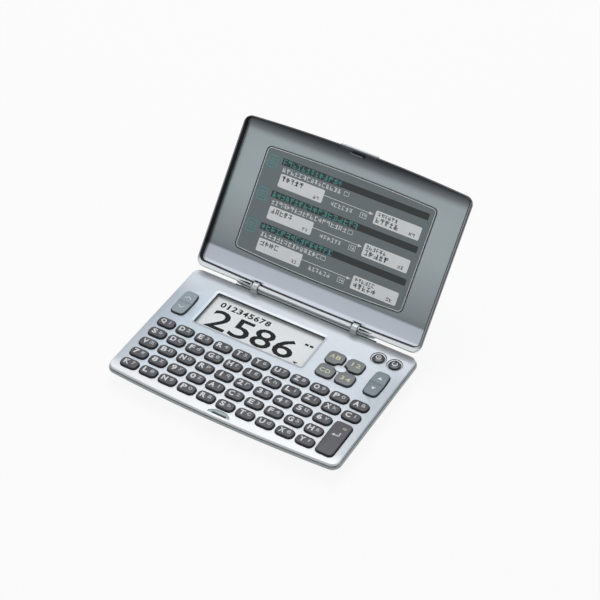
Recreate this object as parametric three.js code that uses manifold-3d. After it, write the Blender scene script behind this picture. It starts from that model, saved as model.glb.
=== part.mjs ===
// Electronic dictionary: a pocket clamshell with a keyboard, a small display and a hinged lid.
// Millimetres, +Z up. The origin is the centre of the lower case's flat underside. The front of
// the keyboard faces -Y. The lid stands open, as it does in use.
import * as THREE from 'three';
import { mergeVertices } from 'three/addons/utils/BufferGeometryUtils.js';
import Module from 'manifold-3d';

const wasm = await Module();
wasm.setup();

// Driving dimensions of the base
const base = {
  cornerRadius: 4.6, frontBow: 1.9, backBow: 0.6, wall: 1.5, floor: 1.2, partingDrop: 1.7,
  partingGap: 0.3, wallHeight: 1.1, bevelWidth: 6.4, bulgeWidth: 0.5, lipRound: 0.35,
};
const fascia = {
  plate: 1.1, edgeRound: 0.6, setIn: 0.65, skirtWidth: 0.9, bossRadius: 1.7, bossBore: 1,
  bossDrop: 2.3, padRise: 0.6, padHalfWidth: 3, padHalfDepth: 2.05, padGap: 0.5,
  tabPlace: 22, tabWidth: 8, tabThickness: 1, tabDrop: 1.8,
};
const fit = { slide: 0.2, loose: 0.3, seat: 0.1, overrun: 1 };

// Keyboard: eleven columns and five rows, with a tall key in the last column
const keys = {
  columns: 11, rows: 5, sideMargin: 4.3, width: 8.8, columnGap: 1.46, frontMargin: 5.88,
  depth: 5.3, rowGap: 2.23, rise: 1.2, cornerRadius: 2.2, topRound: 0.55, topDrop: 0.45,
  webThickness: 0.6,
  webDepth: 3.6, pressDepth: 0.8, flange: 0.4, flangeThickness: 0.6, tallRows: 3, cornerSteps: 2,
};
const modeKeys = { width: 8.8, depth: 7.9, gapX: 1.3, gapY: 1, cornerRadius: 2.4, placeShare: 0.52 };
const rocker = {
  width: 7.6, length: 15.4, sideMargin: 4.9, cornerRadius: 2, collarHalf: 2, grooveWidth: 0.5,
  grooveDepth: 0.3,
};
const roundKeys = {
  radius: 2.75, wellRadius: 3.6, wellDepth: 0.4, edgeMargin: 7.6, spacing: 8.4, rise: 0.9, sides: 18,
};
const panelShares = { clusterPlace: 0.35, roundPlace: 0.76 };
const display = {
  leftMargin: 18.4, rightMargin: 43.6, keyGap: 5.5, depth: 21.7, backMargin: 9.5, lensLap: 1.6,
  lensThickness: 0.75, glassLap: 1.8, glassThickness: 1.6, glassDrop: 0.3, underGap: 0.65,
  holderWall: 1, stripDepth: 1.2, stripSetIn: 0.4,
};

// Inside the base
const board = {
  underside: 3.6, thickness: 0.8, edgeGap: 4.8, frontGap: 6.9, backGap: 5.6, postRadius: 1.5,
};
const mat = {
  thickness: 0.4, borderWidth: 0.4, domeRadius: 1.9, domeTopRadius: 1.2, domeClearance: 0.2, sides: 5,
  frontGap: 5.6,
};
const cell = { radius: 10, thickness: 3.2, spacing: 21.6, edgeRound: 0.3, sides: 24, lift: 0.3 };
const bay = {
  offset: 3, wall: 2.5, clearance: 0.8, endRoom: 1.5, coverThickness: 1, coverLap: 1.5,
  tongueLength: 6.4, screwFromEnd: 3, cornerRadius: 1.5,
};
const contact = {
  thickness: 0.2, width: 4, reach: 12, endGap: 0.3, sideWidth: 6, sideThickness: 0.3, tabHeight: 2.6,
};
const chip = {
  thickness: 1, controllerWidth: 14, memoryWidth: 11, memoryDepth: 7, crystalRadius: 0.9,
  crystalLength: 7,
};
const caseScrew = {
  headRadius: 1.6, headHeight: 0.8, shankRadius: 0.7, recess: 1, postRadius: 2.1, tipGap: 0.4,
  keyboardSetback: 2.4, displayLeftSetback: 5.4, displayRightSetback: 5.2,
  leftInset: 9, rightInset: 25, backSetback: 9, sides: 10,
};
const foot = {
  radius: 3, proud: 0.5, pocket: 0.7, sideInset: 11.5, frontInset: 12.5, backInset: 16, sides: 16,
};

// Hinge and lid
const hinge = {
  rise: 2.5, barrelRadius: 1.85, lugPlace: 26.8, lugWidth: 3.2, lugRadius: 2.7, footDepth: 1.6,
  pinRadius: 0.6, pinBore: 0.8, pinLength: 11, earLength: 8.4, earTip: 0.9, sides: 16,
};
const lid = {
  openDegrees: 129.8, thickness: 5.2, closedGap: 0.3, frontOverhang: 0.1, backSetback: 0.3,
  hingeBow: 0.9, rim: 1.2, hingeRim: 1.6, recess: 3, coverPlate: 0.85, coverGap: 0.15,
  splitDrop: 3.4, splitGap: 0.25, cornerRadius: 4, nestInset: 2.3, coverRound: 4.5, lipWidth: 20,
  lipDepth: 0.5, lipThickness: 1.6, edgeRound: 0.45, flankInset: 0.5, rampLength: 10.4,
  rampRise: 0.9, sweepLength: 10, sweepRise: 2.2, sweepSink: 0.3,
};
const guide = {
  sideMargin: 15.1, hingeMargin: 13.9, freeMargin: 12.4, bow: 1, cornerRadius: 2.5, thickness: 0.4,
  pocket: 0.7, clearance: 0.2,
};
const latch = {
  setback: 3, hookWidth: 7, hookThickness: 0.6, hookReach: 1.1, scoopHalfWidth: 5.7, scoopDepth: 2.9,
  scoopDrop: 0.5, scoopBehind: 0.75,
};

// Counts of steps along the curved edges of the two shells, and their least corner radius
const steps = { corner: 3, bow: 7, round: 3, arc: 8 };
const leastRadiusShare = 0.15;
const cornerLimitShare = 0.49;

// The case's width and depth follow from what its top carries
const caseWidth =
  2 * keys.sideMargin + keys.columns * keys.width + (keys.columns - 1) * keys.columnGap;
const caseDepth =
  keys.frontMargin + keys.rows * keys.depth + (keys.rows - 1) * keys.rowGap + display.keyGap +
  display.depth + display.backMargin;
const halfWidth = caseWidth / 2;
const frontY = -caseDepth / 2;
const backY = caseDepth / 2;

// The case's height follows from the stack under the display: cover, cell, glass, lens and plate
const cellBottom = bay.coverThickness + cell.lift;
const cellTop = cellBottom + cell.thickness;
const glassBottom = cellTop + display.underGap;
const glassTop = glassBottom + display.glassThickness;
const lensTop = glassTop + display.glassDrop + display.lensThickness;
const plateUnderside = lensTop + fit.seat;
const caseHeight = plateUnderside + fascia.plate;
const partingHeight = caseHeight - base.partingDrop;
const bevelTop = partingHeight - base.wallHeight;
const keyTop = caseHeight + keys.rise;
const webTop = plateUnderside - fit.loose;
const webBottom = webTop - keys.webThickness;
const boardTop = board.underside + board.thickness;
const bayWallTop = board.underside - fit.loose;
const columnPitch = keys.width + keys.columnGap;
const rowPitch = keys.depth + keys.rowGap;
const columnX = (column) => (column - (keys.columns - 1) / 2) * columnPitch;
const rowY = (row) => frontY + keys.frontMargin + keys.depth / 2 + (keys.rows - 1 - row) * rowPitch;
const keyboardBack = rowY(0) + keys.depth / 2;
const panelDepth = backY - keyboardBack;
const clusterY = keyboardBack + panelDepth * panelShares.clusterPlace;
const roundY = keyboardBack + panelDepth * panelShares.roundPlace;
const rockerX = halfWidth - rocker.sideMargin - rocker.width / 2;
const displayLeft = -halfWidth + display.leftMargin;
const displayRight = halfWidth - display.rightMargin;
const displayFront = keyboardBack + display.keyGap;
const displayBack = backY - display.backMargin;
const displayX = (displayLeft + displayRight) / 2;
const displayY = (displayFront + displayBack) / 2;
const modeX = displayRight + (rockerX - rocker.width / 2 - displayRight) * modeKeys.placeShare;
const outerRoundX = halfWidth - roundKeys.edgeMargin;
const roundXs = [outerRoundX - roundKeys.spacing, outerRoundX];
const catchY = frontY + latch.setback;
const screwPlaces = [
  [displayLeft - caseScrew.displayLeftSetback, keyboardBack + caseScrew.keyboardSetback],
  [displayRight + caseScrew.displayRightSetback, keyboardBack + caseScrew.keyboardSetback],
  [-halfWidth + caseScrew.leftInset, backY - caseScrew.backSetback],
  [halfWidth - caseScrew.rightInset, backY - caseScrew.backSetback],
];
const bayX = displayX + bay.offset;
const cellXs = [bayX - cell.spacing / 2, bayX + cell.spacing / 2];
const bayHalfWidth = cell.spacing / 2 + cell.radius + bay.endRoom;
const bayHalfDepth = cell.radius + bay.clearance;
const coverRight = bayX + bayHalfWidth + bay.coverLap + bay.tongueLength;
const coverScrewX = coverRight - bay.screwFromEnd;

// Places along the lid, measured from the hinge axis: distance along it, and height towards its inside
const rimHeight = hinge.rise - lid.closedGap;
const lidBack = rimHeight - lid.thickness;
const lidFloor = rimHeight - lid.recess;
const splitHeight = rimHeight - lid.splitDrop;
const lidHingeEdge = lid.backSetback;
const lidFreeEdge = caseDepth + lid.frontOverhang;

// Outlines

// A rectangle with round corners, drawn anticlockwise about its centre
function roundedRect(width, depth, wantedRadius, cornerSteps, inset = 0) {
  const radius = Math.min(wantedRadius, width * cornerLimitShare, depth * cornerLimitShare);
  const x = width / 2 - radius;
  const y = depth / 2 - radius;
  const r = radius - inset;
  const points = [];
  [[x, y], [-x, y], [-x, -y], [x, -y]].forEach(([cx, cy], corner) => {
    for (let step = 0; step <= cornerSteps; step += 1) {
      const angle = (Math.PI / 2) * (corner + step / cornerSteps);
      points.push(new THREE.Vector2(cx + r * Math.cos(angle), cy + r * Math.sin(angle)));
    }
  });
  return points;
}

// The shell's outline: straight sides, round corners, and front and back edges that bow outwards
function bowedOutline(form, inset) {
  const half = form.halfWidth - inset;
  const radius = Math.max(form.radius - inset, form.radius * leastRadiusShare);
  const low = form.front + inset;
  const high = form.back - inset;
  const reach = half - radius;
  const points = [];
  const addBow = (edge, bow, direction) => {
    for (let step = 1; step < steps.bow; step += 1) {
      const share = -1 + (2 * step) / steps.bow;
      points.push(new THREE.Vector2(direction * share * reach, edge + bow * share * share));
    }
  };
  const addCorner = (cx, cy, quarter) => {
    for (let step = 0; step <= steps.corner; step += 1) {
      const angle = (Math.PI / 2) * (quarter + step / steps.corner);
      points.push(new THREE.Vector2(cx + radius * Math.cos(angle), cy + radius * Math.sin(angle)));
    }
  };
  addBow(low, form.frontBow, 1);
  addCorner(reach, low + form.frontBow + radius, 3);
  addCorner(reach, high - form.backBow - radius, 0);
  addBow(high, -form.backBow, -1);
  addCorner(-reach, high - form.backBow - radius, 1);
  addCorner(-reach, low + form.frontBow + radius, 2);
  return points;
}

function circle(radius, sides, x = 0, y = 0) {
  return Array.from({ length: sides }, (_, side) => {
    const angle = (2 * Math.PI * side) / sides;
    return new THREE.Vector2(x + radius * Math.cos(angle), y + radius * Math.sin(angle));
  });
}

// Solids

function solid(geometry) {
  geometry.deleteAttribute('normal');
  geometry.deleteAttribute('uv');
  const merged = mergeVertices(geometry);
  return new wasm.Manifold(new wasm.Mesh({
    numProp: 3,
    vertProperties: new Float32Array(merged.attributes.position.array),
    triVerts: new Uint32Array(merged.index.array),
  }));
}

// A closed skin through rings of equally many points, from the lowest ring to the highest
function loft(rings) {
  const count = rings[0].points.length;
  const positions = rings.flatMap(({ points, z }) => points.flatMap((p) => [p.x, p.y, z]));
  const faces = [];
  for (let ring = 0; ring < rings.length - 1; ring += 1) {
    for (let side = 0; side < count; side += 1) {
      const a = ring * count + side;
      const b = ring * count + ((side + 1) % count);
      faces.push(a, b, b + count, a, b + count, a + count);
    }
  }
  const last = (rings.length - 1) * count;
  THREE.ShapeUtils.triangulateShape(rings[0].points, []).forEach(([a, b, c]) => faces.push(a, c, b));
  THREE.ShapeUtils.triangulateShape(rings[rings.length - 1].points, [])
    .forEach(([a, b, c]) => faces.push(last + a, last + b, last + c));
  const geometry = new THREE.BufferGeometry();
  geometry.setAttribute('position', new THREE.Float32BufferAttribute(positions, 3));
  geometry.setIndex(faces);
  return solid(geometry);
}

function prism(points, bottom, top) {
  const geometry = new THREE.ExtrudeGeometry(new THREE.Shape(points), {
    depth: top - bottom, bevelEnabled: false, curveSegments: 1,
  });
  geometry.translate(0, 0, bottom);
  return solid(geometry);
}

function block(x0, x1, y0, y1, z0, z1) {
  const geometry = new THREE.BoxGeometry(x1 - x0, y1 - y0, z1 - z0);
  geometry.translate((x0 + x1) / 2, (y0 + y1) / 2, (z0 + z1) / 2);
  return solid(geometry);
}

function post(radius, sides, x, y, bottom, top) {
  return prism(circle(radius, sides, x, y), bottom, top);
}

// A cone or cylinder along X, about the line y = 0, z = 0
function rodAlongX(startRadius, endRadius, sides, x0, x1) {
  const geometry = new THREE.CylinderGeometry(endRadius, startRadius, x1 - x0, sides);
  geometry.rotateZ(-Math.PI / 2);
  geometry.translate((x0 + x1) / 2, 0, 0);
  return solid(geometry);
}

// A bar along X whose section is drawn in Y and Z
function barAlongX(points, x0, x1) {
  const geometry = new THREE.ExtrudeGeometry(new THREE.Shape(points), {
    depth: x1 - x0, bevelEnabled: false,
  });
  geometry.applyMatrix4(new THREE.Matrix4().makeBasis(
    new THREE.Vector3(0, 1, 0), new THREE.Vector3(0, 0, 1), new THREE.Vector3(1, 0, 0)));
  geometry.translate(x0, 0, 0);
  return solid(geometry);
}

// A turned piece about a vertical axis, from a profile of radius and height
function turned(profile, sides, x, y) {
  const geometry = new THREE.LatheGeometry(profile.map(([r, z]) => new THREE.Vector2(r, z)), sides);
  geometry.rotateX(Math.PI / 2);
  geometry.translate(x, y, 0);
  return solid(geometry);
}

function joined(first, ...others) {
  return others.reduce((whole, other) => whole.add(other), first);
}

// Materials

const finishes = {
  silver: { color: 0xd2d6de, roughness: 0.4, metalness: 0.3 },
  case: { color: 0x9a9fa6, roughness: 0.5, metalness: 0.3 },
  lidSilver: { color: 0xa8aeb6, roughness: 0.35, metalness: 0.5 },
  key: { color: 0x464b50, roughness: 0.45, metalness: 0 },
  modeKey: { color: 0x8c8e90, roughness: 0.5, metalness: 0 },
  rocker: { color: 0x7c8591, roughness: 0.45, metalness: 0 },
  clear: { color: 0xdfe9e4, roughness: 0.1, metalness: 0 },
  display: { color: 0xdbe4dd, roughness: 0.3, metalness: 0 },
  guide: { color: 0x5f6161, roughness: 0.6, metalness: 0 },
  rubber: { color: 0x2b2d30, roughness: 0.9, metalness: 0 },
  membrane: { color: 0x9fb0a6, roughness: 0.8, metalness: 0 },
  board: { color: 0x2f6b45, roughness: 0.6, metalness: 0 },
  chip: { color: 0x232427, roughness: 0.5, metalness: 0 },
  steel: { color: 0xb9bcc0, roughness: 0.3, metalness: 0.9 },
  frame: { color: 0xe8e8e4, roughness: 0.6, metalness: 0 },
};

function named(name, body, finish) {
  const mesh = body.getMesh();
  const geometry = new THREE.BufferGeometry();
  geometry.setAttribute(
    'position', new THREE.Float32BufferAttribute(mesh.vertProperties, mesh.numProp));
  geometry.setIndex(Array.from(mesh.triVerts));
  geometry.computeVertexNormals();
  const piece = new THREE.Mesh(geometry, new THREE.MeshStandardMaterial(finishes[finish]));
  piece.name = name;
  return piece;
}

// Base shells

const caseForm = {
  halfWidth, front: frontY, back: backY, frontBow: base.frontBow, backBow: base.backBow,
  radius: base.cornerRadius,
};

// Rings of the case's skin, whose lower edge slopes under in a slightly bulging bevel
function underBevel(inset, lift) {
  const rings = [];
  for (let step = 0; step <= steps.round; step += 1) {
    const share = step / steps.round;
    const bulge = 4 * base.bulgeWidth * share * (1 - share);
    rings.push({
      points: bowedOutline(caseForm, inset + base.bevelWidth * (1 - share) - bulge),
      z: lift + (bevelTop - lift) * share,
    });
  }
  return rings;
}

function lowerCase() {
  const skin = loft([
    ...underBevel(0, 0),
    { points: bowedOutline(caseForm, 0), z: partingHeight - base.lipRound },
    { points: bowedOutline(caseForm, base.lipRound), z: partingHeight },
  ]);
  const interior = loft([
    ...underBevel(base.wall, base.floor),
    { points: bowedOutline(caseForm, base.wall), z: partingHeight + fit.overrun },
  ]);
  let body = skin.subtract(interior);
  const postTop = plateUnderside - fascia.bossDrop - fit.loose;
  const bayBlock = block(
    bayX - bayHalfWidth - bay.wall, coverRight + bay.wall,
    displayY - bayHalfDepth - bay.wall, displayY + bayHalfDepth + bay.wall, 0, bayWallTop);
  body = body.add(bayBlock);
  screwPlaces.forEach(([x, y]) => {
    body = body.add(post(caseScrew.postRadius, caseScrew.sides, x, y, 0, postTop).intersect(skin));
  });
  boardPosts().forEach(([x, y]) => {
    const standing = post(board.postRadius, caseScrew.sides, x, y, 0, board.underside - fit.seat);
    body = body.add(standing.intersect(skin));
  });
  body = body.subtract(block(
    bayX - bayHalfWidth, bayX + bayHalfWidth,
    displayY - bayHalfDepth, displayY + bayHalfDepth, -fit.overrun, caseHeight));
  body = body.subtract(coverOutline(fit.loose, -fit.overrun, bay.coverThickness + fit.seat));
  body = body.subtract(post(
    hinge.pinBore, caseScrew.sides, coverScrewX, displayY, 0, bayWallTop - fit.loose));
  screwPlaces.forEach(([x, y]) => {
    body = body.subtract(post(
      caseScrew.headRadius + fit.loose, caseScrew.sides, x, y, -fit.overrun, caseScrew.recess));
    body = body.subtract(post(fascia.bossBore, caseScrew.sides, x, y, 0, caseHeight));
  });
  footPlaces().forEach(([x, y]) => {
    body = body.subtract(post(foot.radius + fit.seat, foot.sides, x, y, -fit.overrun, foot.pocket));
  });
  return named('lower_case', body, 'case');
}

// Small posts that carry the board where no screw post stands near
function boardPosts() {
  const sideX = columnX(keys.columns - 1);
  return [
    [-sideX, rowY(1)], [sideX, rowY(1)], [-sideX, rowY(keys.rows - 1)], [sideX, rowY(keys.rows - 1)],
    [0, rowY(0)], [sideX, roundY],
  ];
}

function footPlaces() {
  const x = halfWidth - foot.sideInset;
  const front = frontY + foot.frontInset;
  const back = backY - foot.backInset;
  return [[-x, front], [x, front], [-x, back], [x, back]];
}

// Holes in the fascia for every key, each a little larger than its key
function fasciaHoles() {
  const low = plateUnderside - fit.overrun;
  const high = caseHeight + fit.overrun;
  const grown = 2 * fit.slide;
  const holes = [];
  letterKeyPlaces().forEach(([x, y]) => {
    const points = roundedRect(
      keys.width + grown, keys.depth + grown, keys.cornerRadius + fit.slide, keys.cornerSteps);
    holes.push(prism(points.map((p) => new THREE.Vector2(p.x + x, p.y + y)), low, high));
  });
  const tall = roundedRect(
    keys.width + grown, tallDepth + grown, keys.cornerRadius + fit.slide, keys.cornerSteps);
  holes.push(prism(tall.map((p) => new THREE.Vector2(p.x + tallX, p.y + tallY)), low, high));
  modePlaces.forEach((place) => holes.push(modeSolid(place, fit.slide, low, high)));
  [-rockerX, rockerX].forEach((x) => {
    const points = roundedRect(
      rocker.width + grown, rocker.length + 2 * fit.loose, rocker.cornerRadius + fit.slide,
      keys.cornerSteps);
    holes.push(prism(points.map((p) => new THREE.Vector2(p.x + x, p.y + clusterY)), low, high));
  });
  roundXs.forEach((x) => {
    holes.push(post(roundKeys.radius + fit.slide, roundKeys.sides, x, roundY, low, high));
    holes.push(post(
      roundKeys.wellRadius, roundKeys.sides, x, roundY, caseHeight - roundKeys.wellDepth, high));
  });
  holes.push(block(displayLeft, displayRight, displayFront, displayBack, low, high));
  return holes;
}

// A shallow crescent at the front edge for the fingertip, with the slot that takes the lid's hook
function latchCuts() {
  const rim = caseHeight;
  const crescent = [];
  for (let step = 0; step <= steps.arc; step += 1) {
    const angle = Math.PI * (step / steps.arc);
    crescent.push(new THREE.Vector2(
      latch.scoopHalfWidth * Math.cos(angle),
      catchY - latch.scoopBehind + latch.scoopDepth * Math.sin(angle)));
  }
  const slotHalf = latch.hookThickness / 2 + fit.loose;
  const slotWidth = latch.hookWidth / 2 + fit.loose;
  return [
    prism(crescent, rim - latch.scoopDrop, rim + fit.overrun),
    block(-slotWidth, slotWidth, catchY - slotHalf, catchY + slotHalf,
      plateUnderside - fit.overrun, rim + fit.overrun),
  ];
}

// A knuckle of the hinge on its foot, standing up from the fascia's back edge
function hingeLug(side) {
  const axisZ = caseHeight + hinge.rise;
  const x0 = side * hinge.lugPlace - hinge.lugWidth / 2;
  const x1 = x0 + hinge.lugWidth;
  const ring = rodAlongX(hinge.lugRadius, hinge.lugRadius, hinge.sides, x0, x1)
    .translate([0, backY, axisZ]);
  const neck = block(
    x0, x1, backY - hinge.footDepth, backY - base.backBow, plateUnderside, axisZ);
  const bore = rodAlongX(hinge.pinBore, hinge.pinBore, hinge.sides, x0 - fit.overrun, x1 + fit.overrun)
    .translate([0, backY, axisZ]);
  return ring.add(neck).subtract(bore);
}

// A tab that hangs from the fascia behind the lower case's front wall
function frontTab(side) {
  const x = side * fascia.tabPlace;
  const y = frontY + base.wall + base.frontBow / 2 + fit.loose;
  return block(
    x - fascia.tabWidth / 2, x + fascia.tabWidth / 2, y, y + fascia.tabThickness,
    plateUnderside - fascia.tabDrop, plateUnderside + fascia.plate / 2);
}

function keyboardFascia() {
  const edge = (inset) => bowedOutline(caseForm, fascia.setIn + inset);
  const bottom = partingHeight + base.partingGap;
  const quarterTurn = fascia.edgeRound * (1 - Math.SQRT1_2);
  let body = loft([
    { points: edge(0), z: bottom },
    { points: edge(0), z: caseHeight - fascia.edgeRound },
    { points: edge(quarterTurn), z: caseHeight - quarterTurn },
    { points: edge(fascia.edgeRound), z: caseHeight },
  ]);
  body = body.subtract(prism(edge(fascia.skirtWidth), bottom - fit.overrun, plateUnderside));
  screwPlaces.forEach(([x, y]) => {
    const drop = plateUnderside - fascia.bossDrop;
    body = body.add(post(
      fascia.bossRadius, caseScrew.sides, x, y, drop, plateUnderside + fascia.plate / 2));
    body = body.subtract(post(
      fascia.bossBore, caseScrew.sides, x, y, drop - fit.overrun, plateUnderside));
  });
  body = joined(body, hingeLug(-1), hingeLug(1), frontTab(-1), frontTab(1));
  const pad = circle(1, roundKeys.sides).map((p) => new THREE.Vector2(
    modeX + p.x * fascia.padHalfWidth, clusterY + p.y * fascia.padHalfDepth));
  body = body.add(prism(pad, plateUnderside, caseHeight + fascia.padRise));
  [...fasciaHoles(), ...latchCuts()].forEach((hole) => {
    body = body.subtract(hole);
  });
  return named('keyboard_fascia', body, 'silver');
}

// Keys

const tallX = columnX(keys.columns - 1);
const tallDepth = keys.tallRows * keys.depth + (keys.tallRows - 1) * keys.rowGap;
const tallY = (rowY(keys.rows - 1) + rowY(keys.rows - keys.tallRows)) / 2;

function rowColumns(row) {
  return row < keys.rows - keys.tallRows ? keys.columns : keys.columns - 1;
}

function letterKeyPlaces() {
  const places = [];
  for (let row = 0; row < keys.rows; row += 1) {
    for (let column = 0; column < rowColumns(row); column += 1) {
      places.push([columnX(column), rowY(row)]);
    }
  }
  return places;
}

// A key cap whose top edge is rounded off, from its underside up
function keyCap(width, depth, radius, x, y, bottom, top) {
  const ring = (inset, z) => ({
    points: roundedRect(width, depth, radius, keys.cornerSteps, inset)
      .map((p) => new THREE.Vector2(p.x + x, p.y + y)),
    z,
  });
  return loft([ring(0, bottom), ring(0, top - keys.topDrop), ring(keys.topRound, top)]);
}

// One row of letter keys: the caps stand on a thin web that the fascia holds down
function letterKeyRow(row) {
  const last = rowColumns(row) - 1;
  const y = rowY(row);
  let body = block(
    columnX(0) - keys.width / 2 + keys.cornerRadius, columnX(last) + keys.width / 2 - keys.cornerRadius,
    y - keys.webDepth / 2, y + keys.webDepth / 2, webBottom, webTop);
  for (let column = 0; column <= last; column += 1) {
    body = body.add(keyCap(
      keys.width, keys.depth, keys.cornerRadius, columnX(column), y,
      webBottom + keys.webThickness / 2, keyTop));
  }
  return named(`letter_keys_row_${row + 1}`, body, 'key');
}

function flangedKey(name, cap, outline, finish) {
  return named(name, cap.add(prism(outline, webTop - keys.flangeThickness, webTop)), finish);
}

function enterKey() {
  const cap = keyCap(keys.width, tallDepth, keys.cornerRadius, tallX, tallY, webBottom, keyTop);
  const grown = 2 * keys.flange;
  const outline = roundedRect(
    keys.width + grown, tallDepth + grown, keys.cornerRadius + keys.flange, keys.cornerSteps)
    .map((p) => new THREE.Vector2(p.x + tallX, p.y + tallY));
  return flangedKey('enter_key', cap, outline, 'key');
}

const modePlaces = [[-1, 1], [1, 1], [-1, -1], [1, -1]];

// One of the four keys about the raised pad, with the corner next to the pad cut away
function modeSolid([sideX, sideY], grow, bottom, top, round = false) {
  const x = modeX + sideX * (modeKeys.width + modeKeys.gapX) / 2;
  const y = clusterY + sideY * (modeKeys.depth + modeKeys.gapY) / 2;
  const body = round
    ? keyCap(modeKeys.width, modeKeys.depth, modeKeys.cornerRadius, x, y, bottom, top)
    : prism(roundedRect(
      modeKeys.width + 2 * grow, modeKeys.depth + 2 * grow, modeKeys.cornerRadius + grow,
      keys.cornerSteps).map((p) => new THREE.Vector2(p.x + x, p.y + y)), bottom, top);
  const clear = fascia.padGap - grow;
  const cut = circle(1, roundKeys.sides).map((p) => new THREE.Vector2(
    modeX + p.x * (fascia.padHalfWidth + clear), clusterY + p.y * (fascia.padHalfDepth + clear)));
  return body.subtract(prism(cut, bottom - fit.overrun, top + fit.overrun));
}

function modeKey(place, index) {
  const cap = modeSolid(place, 0, webBottom, keyTop, true);
  const collar = modeSolid(place, keys.flange, webTop - keys.flangeThickness, webTop);
  return named(`mode_key_${index + 1}`, cap.add(collar), 'modeKey');
}

function roundButton(x, index) {
  const top = caseHeight + roundKeys.rise;
  const collar = webTop - keys.flangeThickness;
  const wide = roundKeys.radius + keys.flange + fit.slide;
  const body = turned([
    [0, collar], [wide, collar], [wide, webTop], [roundKeys.radius, webTop],
    [roundKeys.radius, top - keys.topDrop], [roundKeys.radius - keys.topRound, top - keys.topDrop / 2],
    [0, top],
  ], roundKeys.sides, x, roundY);
  return named(`round_button_${index + 1}`, body, 'key');
}

// A rocker with a groove across its middle, held by a short collar at its pivot
function rockerKey(name, x) {
  const outline = keyCap(
    rocker.width, rocker.length, rocker.cornerRadius, x, clusterY, webBottom, keyTop);
  const half = rocker.width / 2;
  const collar = block(
    x - half - keys.flange - fit.slide, x + half + keys.flange + fit.slide,
    clusterY - rocker.collarHalf, clusterY + rocker.collarHalf, webTop - keys.flangeThickness, webTop);
  const groove = block(
    x - half + rocker.cornerRadius / 2, x + half - rocker.cornerRadius / 2,
    clusterY - rocker.grooveWidth / 2, clusterY + rocker.grooveWidth / 2,
    keyTop - rocker.grooveDepth, keyTop + fit.overrun);
  return named(name, outline.add(collar).subtract(groove), 'rocker');
}

// Display

function displayWindow() {
  return named('display_window', block(
    displayLeft - display.lensLap, displayRight + display.lensLap,
    displayFront - display.lensLap, displayBack + display.lensLap,
    lensTop - display.lensThickness, lensTop), 'clear');
}

function glassBlock(grow, bottom, top) {
  const lap = display.glassLap + grow;
  return block(
    displayLeft - lap, displayRight + lap, displayFront - lap, displayBack + lap, bottom, top);
}

function lcdGlass() {
  return named('lcd_glass', glassBlock(0, glassBottom, glassTop), 'display');
}

function lcdHolder() {
  const frame = glassBlock(display.holderWall + fit.seat, boardTop + fit.seat, glassTop)
    .subtract(glassBlock(fit.seat, boardTop - fit.overrun, caseHeight));
  return named('lcd_holder', frame, 'frame');
}

function contactStrip() {
  const y = displayFront - display.glassLap + display.stripSetIn;
  return named('lcd_contact_strip', block(
    displayLeft, displayRight, y, y + display.stripDepth,
    boardTop + fit.seat, glassBottom - fit.seat), 'rubber');
}

// Electronics

function mainBoard() {
  const x = halfWidth - board.edgeGap;
  let body = block(-x, x, frontY + board.frontGap, backY - board.backGap, board.underside, boardTop);
  body = body.subtract(block(
    bayX - bayHalfWidth, bayX + bayHalfWidth,
    displayY - bayHalfDepth, displayY + bayHalfDepth, 0, caseHeight));
  screwPlaces.forEach(([px, py]) => {
    body = body.subtract(post(
      caseScrew.postRadius + fit.loose, caseScrew.sides, px, py, 0, caseHeight));
  });
  return named('main_board', body, 'board');
}

// The rubber sheet under the keys, with a dome below each
function domeMat() {
  const bottom = boardTop + fit.seat;
  const top = bottom + mat.thickness;
  const edgeX = columnX(keys.columns - 1) + keys.width / 2 + mat.borderWidth;
  const front = frontY + mat.frontGap;
  const back = keyboardBack + mat.borderWidth;
  let body = block(-edgeX, edgeX, front, back, bottom, top);
  const clusterBack = clusterY + rocker.length / 2 + mat.borderWidth;
  const modeLeft = modeX - modeKeys.gapX / 2 - modeKeys.width - mat.borderWidth;
  body = body.add(block(modeLeft, edgeX, front, clusterBack, bottom, top));
  const rockerEdge = -rockerX + rocker.width / 2 + mat.borderWidth;
  body = body.add(block(-edgeX, rockerEdge, front, clusterBack, bottom, top));
  const buttonLeft = roundXs[0] - roundKeys.wellRadius;
  body = body.add(block(buttonLeft, edgeX, front, roundY + roundKeys.wellRadius, bottom, top));
  const domeTop = webBottom - keys.pressDepth - mat.domeClearance;
  domePlaces().forEach(([x, y]) => {
    body = body.add(turned([
      [0, bottom], [mat.domeRadius, bottom], [mat.domeRadius, top], [mat.domeTopRadius, domeTop],
      [0, domeTop],
    ], mat.sides, x, y));
  });
  screwPlaces.forEach(([x, y]) => {
    body = body.subtract(post(caseScrew.postRadius + fit.loose, caseScrew.sides, x, y, 0, caseHeight));
  });
  return named('key_dome_mat', body, 'membrane');
}

function domePlaces() {
  const places = letterKeyPlaces();
  places.push([tallX, rowY(keys.rows - 1)], [tallX, rowY(keys.rows - keys.tallRows)]);
  modePlaces.forEach(([sideX, sideY]) => places.push([
    modeX + sideX * (modeKeys.width + modeKeys.gapX) / 2,
    clusterY + sideY * (modeKeys.depth + modeKeys.gapY) / 2]));
  [-rockerX, rockerX].forEach((x) => {
    [-1, 1].forEach((end) => places.push([x, clusterY + (end * rocker.length) / 4]));
  });
  roundXs.forEach((x) => places.push([x, roundY]));
  return places;
}

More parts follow.
